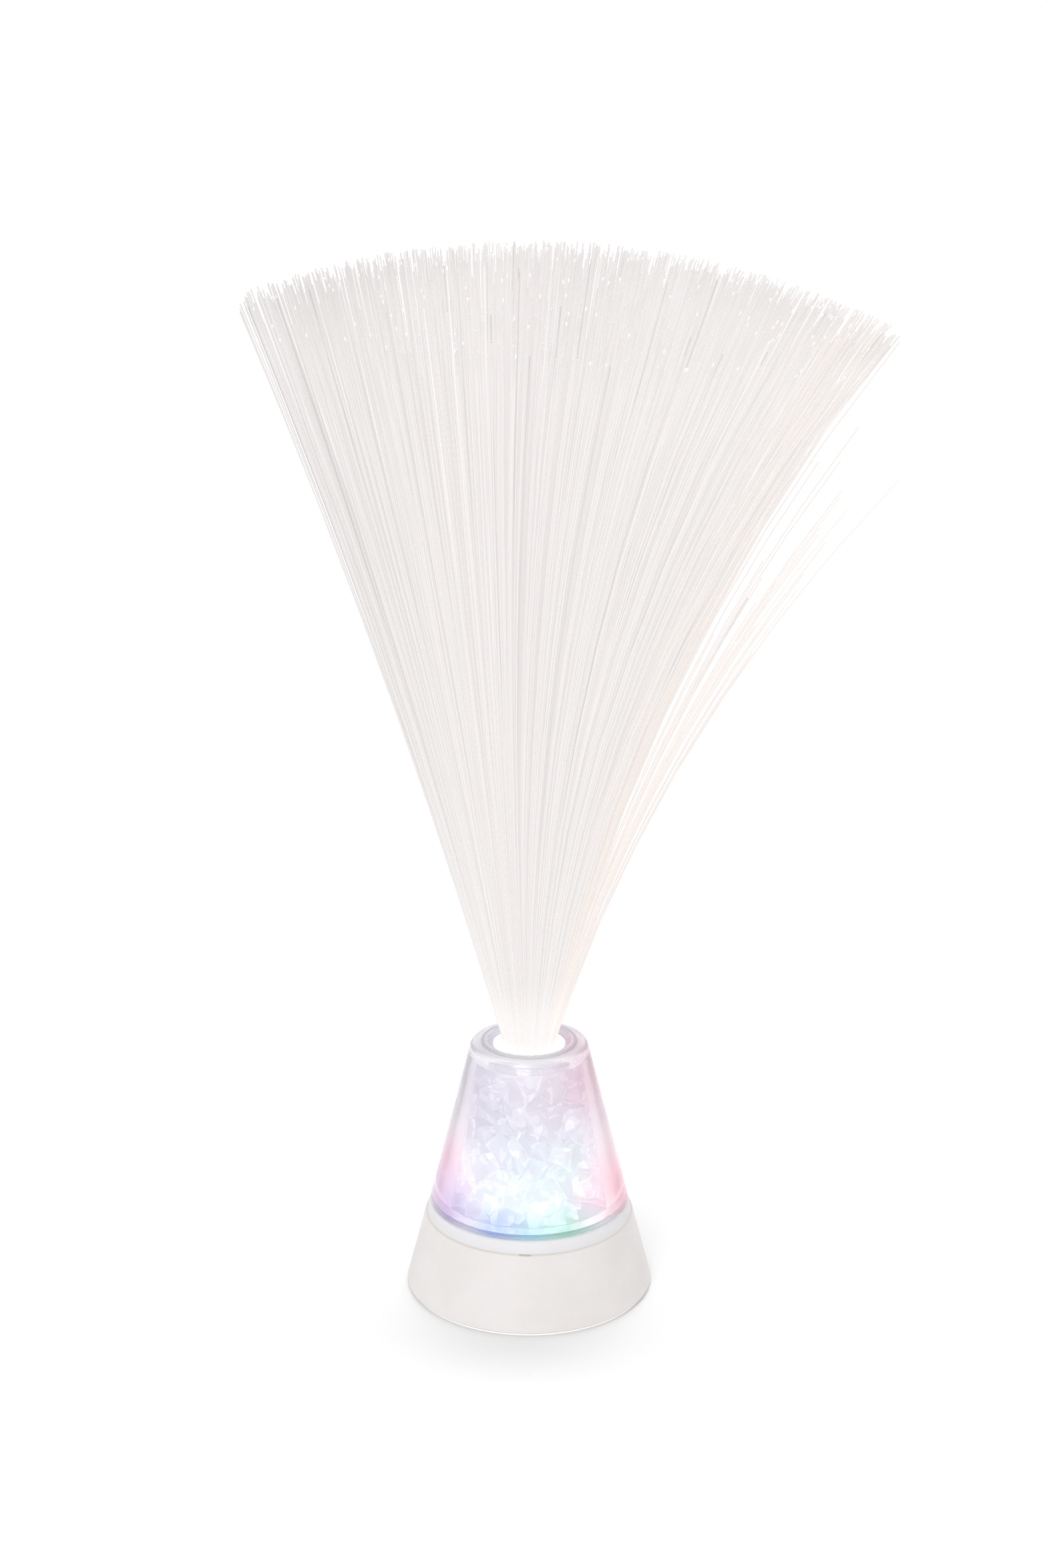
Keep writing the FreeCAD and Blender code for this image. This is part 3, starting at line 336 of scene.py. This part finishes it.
def plainPaint(name, colour, roughness, metallic=0.0, grain=2.5, glow=0.0, glowTint="#FFFFFF"):
    # a small part's material: its colour broken up a little, with a fine bump
    look = paintLook
    material, add = newMaterial(name)
    place = add("ShaderNodeTexCoord", out="Object")
    mottle = add("ShaderNodeTexNoise", {"Vector": place, "Scale": patternScale(grain), "Detail": richDetail})
    fresh = linear(colour)
    worn = (*(look["worn"] * c for c in fresh[:3]), 1.0)
    patch = add(mapRange, [mottle, look["mottleFrom"], look["mottleTo"], 0.0, 1.0],
                interpolation_type="SMOOTHSTEP")
    colour = add(mixer, {0: patch, 6: fresh, 7: worn}, out=2, data_type="RGBA")
    smoothest = max(look["smoothest"], roughness - look["smoother"])
    roughest = roughness + look["rougher"]
    rough = add(mapRange, [mottle, look["mottleFrom"], look["roughTo"], smoothest, roughest],
                interpolation_type="SMOOTHSTEP")
    bump = add("ShaderNodeBump", {"Height": mottle, "Strength": look["bump"],
                                  "Distance": look["depth"]})
    shader = add("ShaderNodeBsdfPrincipled",
                 {"Base Color": colour, "Roughness": rough, "Metallic": metallic,
                  "IOR": look["index"], "Emission Color": linear(glowTint),
                  "Emission Strength": glow, "Normal": bump})
    add("ShaderNodeOutputMaterial", {"Surface": shader})
    return material


def dress(material, names):
    for name in names:
        mesh = nodes[name].data
        mesh.materials.clear()
        mesh.materials.append(material)


dress(mouldedAbs(), ["base_housing", "bottom_plate", "battery_door"])
dress(polishedAcrylic("clear acrylic, polished mould", clearWall), ["clear_body"])
dress(polishedAcrylic("clear acrylic, turned ring", clearCollar), ["top_collar"])
dress(frostedAcrylic(), ["chamber_floor", "light_tube"])
dress(chipAcrylic(), [name for name in nodes if name.startswith("crystal_chips")])
dress(litPlastic(), ["fibre_disc"])

smallParts = {
    # nodes, then what plainPaint takes; the grain's size is in millimetres
    "ferrule": (["fibre_ferrule"], ["black nylon, moulded", "#1B1B1D", 0.5]),
    "cell": (["battery_1", "battery_2", "battery_3"],
             ["printed steel can, lacquered", "#3A3D44", 0.3, 0.4, 4.0]),
    "contact": (["contact_positive", "contact_negative", "bridge_contact_front", "bridge_contact_rear"],
                ["nickel-plated steel, stamped", "#C9C7C2", 0.25, 1.0, 1.111]),
    "board": (["circuit_board"], ["glass laminate, green solder mask", "#1E6B3A", 0.35, 0.0, 0.8333]),
    "controller": (["controller_chip"], ["black epoxy, moulded", "#1A1A1A", 0.6]),
    "resistor": (["resistors"], ["dark ceramic, fired", "#22242B", 0.4]),
    "whiteLed": (["led_white"], ["clear epoxy lens, lit white", "#FFFFFF", 0.1, 0.0, 2.5, 2.0]),
    "blueLed": (["led_blue"], ["epoxy lens, lit blue", "#5A78FF", 0.1, 0.0, 2.5, 2.0, "#4C6CFF"]),
    "greenLed": (["led_green"], ["epoxy lens, lit green", "#5CF0A0", 0.1, 0.0, 2.5, 2.0, "#46F08E"]),
    "redLed": (["led_red"], ["epoxy lens, lit red", "#FF5A6A", 0.1, 0.0, 2.5, 2.0, "#FF4458"]),
    "pinkLed": (["led_pink"], ["epoxy lens, lit pink", "#FF6AC0", 0.1, 0.0, 2.5, 2.0, "#FF52B4"]),
    "switchCase": (["switch_body"], ["steel sheet, stamped and plated", "#B9B9B9", 0.3, 1.0]),
    "knob": (["switch_knob"], ["black nylon, ribbed", "#151515", 0.55]),
    "redWire": (["wire_positive"], ["red PVC, extruded", "#B3141A", 0.45]),
    "blackWire": (["wire_negative", "wire_switch"], ["black PVC, extruded", "#17171A", 0.45]),
    "screw": (["housing_screws", "board_screws", "switch_screws"],
              ["zinc-plated steel, turned", "#B4B4B0", 0.3, 1.0, 0.6667]),
    "foot": (["foot_ring"], ["grey rubber, moulded", "#3A3A3C", 0.75, 0.0, 0.5556]),
}
for names, paint in smallParts.values():
    dress(plainPaint(*paint), names)
print("materials made")


# fibre spray, grown by rule

spray = {
    "rings": 26, "pitch": 0.000292, "radius": 0.00020, "steps": 11, "sides": 4,
    "bendFoot": 0.0820, "bendLength": 0.0070, "bendShare": 0.16, "tilt": 13.2, "tiltLean": -2.0,
    "lean": 0.0190, "halfWidth": 0.1090, "halfDepth": 0.1050, "dome": 0.2680, "centre": 0.0880,
    "ragged": 0.018, "wander": 0.0024, "seed": 5, "tipLength": 0.004, "litTips": 0.14,
    "looseFrom": 0.88, "looseCosine": 0.72, "looseShare": 0.26, "loosePull": 0.12,
    "looseStand": 0.14, "looseTilt": 0.45, "clumpScale": 5.0, "leastShare": 0.004, "fullness": 1.5,
}
sprayDraws = {
    # each fibre's own chances: drawn by, low, high; the seed moves on by one each time
    "turn": ("index", -0.45, 0.45), "share": ("index", -0.03, 0.03), "strand": ("index", 0.0, 1.0),
    "across": ("number", -1.0, 1.0), "deep": ("number", -1.0, 1.0), "ragged": ("number", 0.0, 1.0),
    "loose": ("number", 0.0, 1.0), "early": ("number", 0.10, 0.45), "lit": ("number", 0.0, 1.0),
}
fibreLook = {
    "pale": "#ADABAA", "grey": "#918D8C", "gapShadeShare": 0.3, "gapShadeUpTo": 0.5,
    "clumpFrom": 0.40, "clumpTo": 0.62, "clumpLeast": 0.25, "warm": "#B8B0AA", "light": "#FFFBFA",
    "glow": 0.48, "rootGlow": 0.58, "rootFrom": 0.089, "rootTo": 0.118, "roughness": 0.30,
    "brightFrom": 0.990, "brightTo": 0.994, "brightGlow": 0.12, "tipGlow": 0.4,
    "dark": "#6E6A69", "darkFrom": 0.014, "darkTo": 0.018, "darkShare": 0.6,
    "darkLow": 0.11, "darkHigh": 0.20,
    "sideShade": 0.06, "sideFrom": -0.01, "sideTo": -0.07,
    "endShade": 0.06, "endFrom": 0.254, "endTo": 0.266,
}


def drawnFibre():
    # drawn acrylic fibre: satin, painted shade as grey clumps and dark streaks, lit at the root and the tip
    look = fibreLook
    material, add = newMaterial("acrylic optical fibre, drawn")
    place = add("ShaderNodeTexCoord", out="Object")
    side = add("ShaderNodeSeparateXYZ", [place], out="X")
    height = add("ShaderNodeSeparateXYZ", [place], out="Z")
    strand = add("ShaderNodeAttribute", out="Fac", attribute_name="strand")
    tip = add("ShaderNodeAttribute", out="Fac", attribute_name="tip")
    clump = add("ShaderNodeAttribute", out="Fac", attribute_name="clump")
    edge = add("ShaderNodeAttribute", out="Fac", attribute_name="warm")

    # colour: painted shade greys strands in clumps and darkens a few strands into streaks; the loose side is
    # warmer
    greyness = add(mapRange, [strand, 0.0, look["gapShadeUpTo"], look["gapShadeShare"], 0.0],
                   interpolation_type="LINEAR")
    clumped = add(mapRange, [clump, look["clumpFrom"], look["clumpTo"], look["clumpLeast"], 1.0],
                  interpolation_type="SMOOTHSTEP")
    # painted shade: grey where strands clump, standing in for the shadowed gaps in the bundle
    gapShade = add(maths, [greyness, clumped], operation="MULTIPLY")
    colour = add(mixer, {0: gapShade, 6: linear(look["pale"]), 7: linear(look["grey"])},
                 out=2, data_type="RGBA")
    colour = add(mixer, {0: edge, 6: colour, 7: linear(look["warm"])}, out=2, data_type="RGBA")
    # painted shade: a few strands darkened into streaks, fading out towards the root
    darkness = add(mapRange, [strand, look["darkFrom"], look["darkTo"], look["darkShare"], 0.0],
                   interpolation_type="SMOOTHSTEP")
    raised = add(mapRange, [height, look["darkLow"], look["darkHigh"], 0.0, 1.0],
                 interpolation_type="SMOOTHSTEP")
    shaded = add(maths, [darkness, raised], operation="MULTIPLY")
    colour = add(mixer, {0: shaded, 6: colour, 7: linear(look["dark"])}, out=2, data_type="RGBA")

    # glow: strongest at the root, lowered as painted shade towards the side away from the lean and at the
    # cut ends
    glow = add(mapRange, [height, look["rootFrom"], look["rootTo"], look["rootGlow"], look["glow"]],
               interpolation_type="SMOOTHSTEP")
    bright = add(mapRange, [strand, look["brightFrom"], look["brightTo"], 0.0, look["brightGlow"]],
                 interpolation_type="SMOOTHSTEP")
    away = add(mapRange, [side, look["sideFrom"], look["sideTo"], 0.0, look["sideShade"]],
               interpolation_type="SMOOTHSTEP")
    reach = add(vectorMaths, [place, (0.0, 0.0, spray["centre"])], out="Value", operation="DISTANCE")
    end = add(mapRange, [reach, look["endFrom"], look["endTo"], 0.0, look["endShade"]],
              interpolation_type="SMOOTHSTEP")
    glow = add(maths, [glow, bright], operation="ADD")
    glow = add(maths, [tip, look["tipGlow"], glow], operation="MULTIPLY_ADD")
    glow = add(maths, [glow, away], operation="SUBTRACT")
    glow = add(maths, [glow, end], operation="SUBTRACT")
    shader = add("ShaderNodeBsdfPrincipled",
                 {"Base Color": colour, "Roughness": look["roughness"], "IOR": acrylicIndex,
                  "Emission Color": linear(look["light"]), "Emission Strength": glow})
    add("ShaderNodeOutputMaterial", {"Surface": shader})
    return material


def fibreTree(values, material):
    # rings of fibres; each is a short bend at the disc and one long curve to its tip
    tree = bpy.data.node_groups.new("fibreSpray", "GeometryNodeTree")
    tree.interface.new_socket("Geometry", in_out="OUTPUT", socket_type="NodeSocketGeometry")
    for word, value in values.items():
        kind = "NodeSocketInt" if isinstance(value, int) else "NodeSocketFloat"
        tree.interface.new_socket(word, in_out="INPUT", socket_type=kind)
    given = tree.nodes.new("NodeGroupInput").outputs
    add = partial(addNode, tree)
    index = add("GeometryNodeInputIndex")
    turn, rho, number = (add("GeometryNodeInputNamedAttribute", [word], data_type="FLOAT")
                         for word in ("turned", "share", "number"))
    drawers = {"index": index, "number": number}
    chance = {}
    for shift, (word, (drawer, low, high)) in enumerate(sprayDraws.items(), 1):
        seed = add(maths, [given["seed"], shift], operation="ADD")
        chance[word] = add("FunctionNodeRandomValue",
                           {2: low, 3: high, "ID": drawers[drawer], "Seed": seed},
                           out=1, data_type="FLOAT")

    # number of fibres in all rings, and each fibre's ring and place in it
    threefold = add(maths, [given["rings"], 3.0], operation="MULTIPLY")
    oneMore = add(maths, [given["rings"], 1.0], operation="ADD")
    whole = add(maths, [threefold, oneMore, 1.0], operation="MULTIPLY_ADD")
    inner = add(maths, [index, 12.0, 9.0], operation="MULTIPLY_ADD")
    inner = add(maths, [inner], operation="SQRT")
    inner = add(maths, [inner, 3.0], operation="SUBTRACT")
    inner = add(maths, [inner, 6.0], operation="DIVIDE")
    inner = add(maths, [inner, 0.0001], operation="SUBTRACT")  # so a full ring isn't counted on
    ring = add(maths, [inner], operation="CEIL")
    threefold = add(maths, [ring, 3.0], operation="MULTIPLY")
    oneLess = add(maths, [ring, 1.0], operation="SUBTRACT")
    before = add(maths, [threefold, oneLess, 1.0], operation="MULTIPLY_ADD")
    past = add(maths, [index, before], operation="SUBTRACT")
    sixfold = add(maths, [ring, 6.0], operation="MULTIPLY")
    sixfold = add(maths, [sixfold, 1.0], operation="MAXIMUM")
    place = add(maths, [past, sixfold], operation="DIVIDE")
    leastRing = add(maths, [ring, 1.0], operation="MAXIMUM")
    shifted = add(maths, [chance["turn"], leastRing], operation="DIVIDE")
    turned = add(maths, [place, 2 * math.pi, shifted], operation="MULTIPLY_ADD")
    share = add(maths, [ring, given["rings"]], operation="DIVIDE")
    share = add(maths, [share, chance["share"]], operation="ADD")
    share = add(maths, [share, 1.0], operation="MINIMUM")
    share = add(maths, [share, given["leastShare"]], operation="MAXIMUM")

    points = add("GeometryNodePoints", {"Count": whole})
    stored = {"turned": turned, "share": share, "strand": chance["strand"], "number": index}
    for word, value in stored.items():
        points = add("GeometryNodeStoreNamedAttribute",
                     {"Geometry": points, "Name": word, "Value": value},
                     data_type="FLOAT", domain="POINT")
    line = add("GeometryNodeCurvePrimitiveLine", {"Start": (0.0, 0.0, 0.0), "End": (0.0, 0.0, 1.0)})
    stepped = add("GeometryNodeResampleCurve", {"Curve": line, "Count": given["steps"]})
    copies = add("GeometryNodeInstanceOnPoints", {"Points": points, "Instance": stepped})
    strands = add("GeometryNodeRealizeInstances", [copies])

    # how far along its fibre a point is; the last step is the short cut end
    evenly = add("GeometryNodeSplineParameter", out="Factor")
    oneLess = add(maths, [given["steps"], 1.0], operation="SUBTRACT")
    twoLess = add(maths, [given["steps"], 2.0], operation="SUBTRACT")
    spaced = add(maths, [evenly, oneLess], operation="MULTIPLY")
    spaced = add(maths, [spaced, twoLess], operation="DIVIDE")
    spaced = add(maths, [spaced, 1.0], operation="MINIMUM")
    isTip = add(maths, [evenly, 0.999], operation="GREATER_THAN")  # only the very last point
    notTip = add(maths, [1.0, isTip], operation="SUBTRACT")
    held = add(maths, [given["tipLength"], notTip], operation="MULTIPLY")
    along = add(maths, [spaced, held], operation="SUBTRACT")
    along = add(maths, [along, 0.0], operation="MAXIMUM")

    # on the leaning side most outer fibres stay with the bundle, a few stand off and end early
    cosine = add(maths, [turn], operation="COSINE")
    sine = add(maths, [turn], operation="SINE")
    outward = add("ShaderNodeCombineXYZ", [cosine, sine])
    outer = add(maths, [rho, given["looseFrom"]], operation="GREATER_THAN")
    leaning = add(maths, [cosine, given["looseCosine"]], operation="GREATER_THAN")
    edge = add(maths, [outer, leaning], operation="MULTIPLY")
    loose = add(maths, [chance["loose"], given["looseShare"]], operation="LESS_THAN")
    loose = add(maths, [edge, loose], operation="MULTIPLY")
    held = add(maths, [edge, loose], operation="SUBTRACT")
    held = add(maths, [held, given["loosePull"]], operation="MULTIPLY")
    spread = add(maths, [rho, held], operation="SUBTRACT")
    spread = add(maths, [loose, given["looseStand"], spread], operation="MULTIPLY_ADD")

    # foot in the disc, then a bend on an arc that ends in the direction called way
    reach = add(maths, [given["pitch"], given["rings"]], operation="MULTIPLY")
    reach = add(maths, [reach, rho], operation="MULTIPLY")
    level = add("ShaderNodeCombineXYZ", {"Z": given["bendFoot"]})
    foot = add(vectorMaths, [outward, reach, level], operation="MULTIPLY_ADD")
    tilt = add(maths, [given["tilt"]], operation="RADIANS")
    tiltLean = add(maths, [given["tiltLean"]], operation="RADIANS")
    tilt = add(maths, [tiltLean, cosine, tilt], operation="MULTIPLY_ADD")
    tilt = add(maths, [tilt, rho], operation="MULTIPLY")
    more = add(maths, [loose, given["looseTilt"], 1.0], operation="MULTIPLY_ADD")
    tilt = add(maths, [tilt, more], operation="MULTIPLY")
    bend = add(maths, [given["bendLength"], tilt], operation="DIVIDE")
    tiltCosine = add(maths, [tilt], operation="COSINE")
    tiltSine = add(maths, [tilt], operation="SINE")
    aside = add(maths, [1.0, tiltCosine], operation="SUBTRACT")
    aside = add(maths, [bend, aside], operation="MULTIPLY")
    rise = add(maths, [bend, tiltSine], operation="MULTIPLY")
    lift = add("ShaderNodeCombineXYZ", {"Z": rise})
    start = add(vectorMaths, [outward, aside, lift], operation="MULTIPLY_ADD")
    start = add(vectorMaths, [foot, start], operation="ADD")
    upright = add("ShaderNodeCombineXYZ", {"Z": tiltCosine})
    way = add(vectorMaths, [outward, tiltSine, upright], operation="MULTIPLY_ADD")

    # the tip, on a dome over the place where the fibre would stand in the flat fan
    across = add(maths, [spread, cosine], operation="MULTIPLY")
    across = add(maths, [given["halfWidth"], across, given["lean"]], operation="MULTIPLY_ADD")
    across = add(maths, [given["wander"], chance["across"], across], operation="MULTIPLY_ADD")
    deep = add(maths, [spread, sine], operation="MULTIPLY")
    deep = add(maths, [given["halfDepth"], deep], operation="MULTIPLY")
    deep = add(maths, [given["wander"], chance["deep"], deep], operation="MULTIPLY_ADD")
    flat = add(maths, [across, across], operation="MULTIPLY")
    flat = add(maths, [deep, deep, flat], operation="MULTIPLY_ADD")
    high = add(maths, [given["dome"], given["dome"]], operation="MULTIPLY")
    high = add(maths, [high, flat], operation="SUBTRACT")
    high = add(maths, [high], operation="SQRT")
    high = add(maths, [given["centre"], high], operation="ADD")
    tip = add("ShaderNodeCombineXYZ", [across, deep, high])

    # the long curve from start to tip, with a handle at each end
    chord = add(vectorMaths, [tip, start], operation="SUBTRACT")
    long = add(vectorMaths, [chord], out="Value", operation="LENGTH")
    unit = add(vectorMaths, [chord], operation="NORMALIZE")
    toward = add(vectorMaths, [way, unit], out="Value", operation="DOT_PRODUCT")
    leave = add(maths, [toward, 2.0], operation="MULTIPLY")
    leave = add(vectorMaths, {0: unit, "Scale": leave}, operation="SCALE")
    leave = add(vectorMaths, [leave, way], operation="SUBTRACT")
    handle = add(maths, [1.0, toward], operation="ADD")
    handle = add(maths, [handle, given["fullness"]], operation="MULTIPLY")
    handle = add(maths, [long, handle], operation="DIVIDE")
    second = add(vectorMaths, [way, handle, start], operation="MULTIPLY_ADD")
    third = add(vectorMaths, {0: leave, "Scale": handle}, operation="SCALE")
    third = add(vectorMaths, [tip, third], operation="SUBTRACT")

    # the first steps bend at the disc, the others follow the long curve
    early = add(maths, [along, given["bendShare"]], operation="DIVIDE")
    early = add(maths, [early, 1.0], operation="MINIMUM")
    slow = add(maths, [1.0, early], operation="SUBTRACT")
    ragged = add(maths, [chance["ragged"], 2.0], operation="POWER")
    ragged = add(maths, [ragged, given["ragged"]], operation="MULTIPLY")
    ragged = add(maths, [loose, chance["early"], ragged], operation="MULTIPLY_ADD")
    kept = add(maths, [1.0, ragged], operation="SUBTRACT")
    longShare = add(maths, [1.0, given["bendShare"]], operation="SUBTRACT")
    late = add(maths, [along, given["bendShare"]], operation="SUBTRACT")
    late = add(maths, [late, longShare], operation="DIVIDE")
    late = add(maths, [late, 0.0], operation="MAXIMUM")
    late = add(maths, [late, kept], operation="MULTIPLY")
    rest = add(maths, [1.0, late], operation="SUBTRACT")
    knee = add(maths, [given["bendLength"], 0.5], operation="MULTIPLY")
    knee = add(vectorMaths, {0: way, "Scale": knee}, operation="SCALE")
    knee = add(vectorMaths, [start, knee], operation="SUBTRACT")

    # a Bezier sum each: factor, power of the way left, power of the way gone, point
    shortRows = [(1.0, 2.0, 0.0, foot), (2.0, 1.0, 1.0, knee), (1.0, 0.0, 2.0, start)]
    longRows = [(1.0, 3.0, 0.0, start), (3.0, 2.0, 1.0, second),
                (3.0, 1.0, 2.0, third), (1.0, 0.0, 3.0, tip)]
    sums = []
    for left, gone, rows in ((slow, early, shortRows), (rest, late, longRows)):
        total = (0.0, 0.0, 0.0)
        for factor, leftPower, gonePower, point in rows:
            leftPart = add(maths, [left, leftPower], operation="POWER")
            leftPart = add(maths, [leftPart, factor], operation="MULTIPLY")
            gonePart = add(maths, [gone, gonePower], operation="POWER")
            weight = add(maths, [leftPart, gonePart], operation="MULTIPLY")
            total = add(vectorMaths, [point, weight, total], operation="MULTIPLY_ADD")
        sums.append(total)
    isLong = add(maths, [along, given["bendShare"]], operation="GREATER_THAN")
    chosen = add("GeometryNodeSwitch", [isLong, *sums], input_type="VECTOR")
    strands = add("GeometryNodeSetPosition", {"Geometry": strands, "Position": chosen})

    # what the material asks for
    ringPlace = add(vectorMaths, {0: outward, "Scale": rho}, operation="SCALE")
    clump = add("ShaderNodeTexNoise",
                {"Vector": ringPlace, "Scale": given["clumpScale"], "Detail": fineDetail})
    lit = add(maths, [chance["lit"], given["litTips"]], operation="LESS_THAN")
    lit = add(maths, [isTip, lit], operation="MULTIPLY")
    for word, value in {"tip": lit, "clump": clump, "warm": edge}.items():
        strands = add("GeometryNodeStoreNamedAttribute",
                      {"Geometry": strands, "Name": word, "Value": value},
                      data_type="FLOAT", domain="POINT")
    circle = add("GeometryNodeCurvePrimitiveCircle",
                 {"Resolution": given["sides"], "Radius": given["radius"]})
    mesh = add("GeometryNodeCurveToMesh",
               {"Curve": strands, "Profile Curve": circle, "Fill Caps": True})
    real = add("GeometryNodeRealizeInstances", [mesh])
    painted = add("GeometryNodeSetMaterial", {"Geometry": real, "Material": material})
    add("NodeGroupOutput", [painted])
    return tree


def grow(name, tree, values):
    # the tree's result as a plain mesh at the origin
    holder = bpy.data.objects.new(name + " source", bpy.data.meshes.new(name + " source"))
    bpy.context.scene.collection.objects.link(holder)
    modifier = holder.modifiers.new("grow", "NODES")
    modifier.node_group = tree
    for item in tree.interface.items_tree:
        if item.in_out == "INPUT" and item.name in values:
            modifier[item.identifier] = values[item.name]
    graph = bpy.context.evaluated_depsgraph_get()
    mesh = bpy.data.meshes.new_from_object(holder.evaluated_get(graph), depsgraph=graph)
    mesh.name = name
    piece = bpy.data.objects.new(name, mesh)
    bpy.context.scene.collection.objects.link(piece)
    holder.modifiers.remove(modifier)
    bpy.data.objects.remove(holder)
    return piece


sprayPiece = grow("fibreSpray", fibreTree(spray, drawnFibre()), spray)
print("fibreSpray", len(sprayPiece.data.polygons), "faces")
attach(sprayPiece, "lamp")
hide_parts(*[name for name in nodes if name.startswith("fibres_")])


# floor, light and camera

stageLook = {
    "floor": "#F4F4F4", "shadowFrom": 0.047, "shadowTo": 0.082, "opening": 0.0413, "outer": 6.0,
    "sides": 96, "white": 1.02, "world": 0.68, "aim": (0.0, 0.0, 0.12),
    "lights": {
        # place, size, power
        "key": ((0.1, 0.7, 1.5), 1.0, 9.0),
        "fill": ((-0.3, -1.3, 0.9), 0.9, 9.0),
    },
}


def floorMaterial():
    # white sweep: keeps the soft shadow near the foot, pure white further out
    look = stageLook
    material, add = newMaterial("white paper sweep")
    camera = add("ShaderNodeLightPath", out="Is Camera Ray")
    place = add("ShaderNodeTexCoord", out="Object")
    away = add(vectorMaths, [place], out="Value", operation="LENGTH")
    far = add(mapRange, [away, look["shadowFrom"], look["shadowTo"], 0.0, 1.0],
              interpolation_type="SMOOTHSTEP")
    far = add(maths, [camera, far], operation="MULTIPLY")
    diffuse = add("ShaderNodeBsdfDiffuse", {"Color": linear(look["floor"])})
    white = add("ShaderNodeEmission", {"Color": pureWhite, "Strength": look["white"]})
    both = add("ShaderNodeMixShader", [far, diffuse, white])
    # from below the sheet is clear, so the lamp's underside shows
    under = add("ShaderNodeNewGeometry", out="Backfacing")
    clear = add("ShaderNodeBsdfTransparent")
    sheet = add("ShaderNodeMixShader", [under, both, clear])
    add("ShaderNodeOutputMaterial", {"Surface": sheet})
    return material


sides = stageLook["sides"]
turns = [2 * math.pi * step / sides for step in range(sides)]
floorPoints = [(radius * math.cos(turn), radius * math.sin(turn), 0.0)
               for radius in (stageLook["opening"], stageLook["outer"]) for turn in turns]
floorFaces = [(i, i + sides, (i + 1) % sides + sides, (i + 1) % sides) for i in range(sides)]
floorMesh = bpy.data.meshes.new("floor")
floorMesh.from_pydata(floorPoints, [], floorFaces)
floorMesh.materials.append(floorMaterial())
floor = bpy.data.objects.new("floor", floorMesh)
bpy.context.scene.collection.objects.link(floor)

# white where the camera looks, straight or through the clear parts; dimmer as light
world = bpy.data.worlds.new("white room")
world.use_nodes = True
world.node_tree.nodes.clear()
bpy.context.scene.world = world
add = partial(addNode, world.node_tree)
straight = add("ShaderNodeLightPath", out="Is Camera Ray")
through = add("ShaderNodeLightPath", out="Is Transmission Ray")
seen = add(maths, [straight, through], operation="MAXIMUM")
level = add(mapRange, [seen, 0.0, 1.0, stageLook["world"], stageLook["white"]],
            interpolation_type="LINEAR")
back = add("ShaderNodeBackground", {"Color": pureWhite, "Strength": level})
add("ShaderNodeOutputWorld", {"Surface": back})

for name, (place, size, power) in stageLook["lights"].items():
    light = bpy.data.lights.new(name, "AREA")
    light.shape = "DISK"
    light.size = size
    light.energy = power
    lamp = bpy.data.objects.new(name, light)
    bpy.context.scene.collection.objects.link(lamp)
    lamp.location = place
    aim = Vector(stageLook["aim"]) - Vector(place)
    lamp.rotation_euler = aim.to_track_quat("-Z", "Y").to_euler()

# fitted to the photo's ellipses; the pitch is in degrees
lens = {
    "place": (0.0, -0.840, 0.444), "pitch": 17.4, "length": 61.3, "sensor": 36.0, "shiftX": -0.0036,
    "nearest": 0.05, "furthest": 30.0,
}
camera = bpy.data.objects.new("camera", bpy.data.cameras.new("camera"))
camera.data.lens = lens["length"]
camera.data.sensor_width = lens["sensor"]
camera.data.sensor_fit = "AUTO"
camera.data.shift_x = lens["shiftX"]
camera.data.clip_start = lens["nearest"]
camera.data.clip_end = lens["furthest"]
camera.location = lens["place"]
camera.rotation_euler = (math.radians(90 - lens["pitch"]), 0.0, 0.0)
bpy.context.scene.collection.objects.link(camera)
bpy.context.scene.camera = camera
bpy.context.scene.view_settings.view_transform = "Standard"
print("stage set")
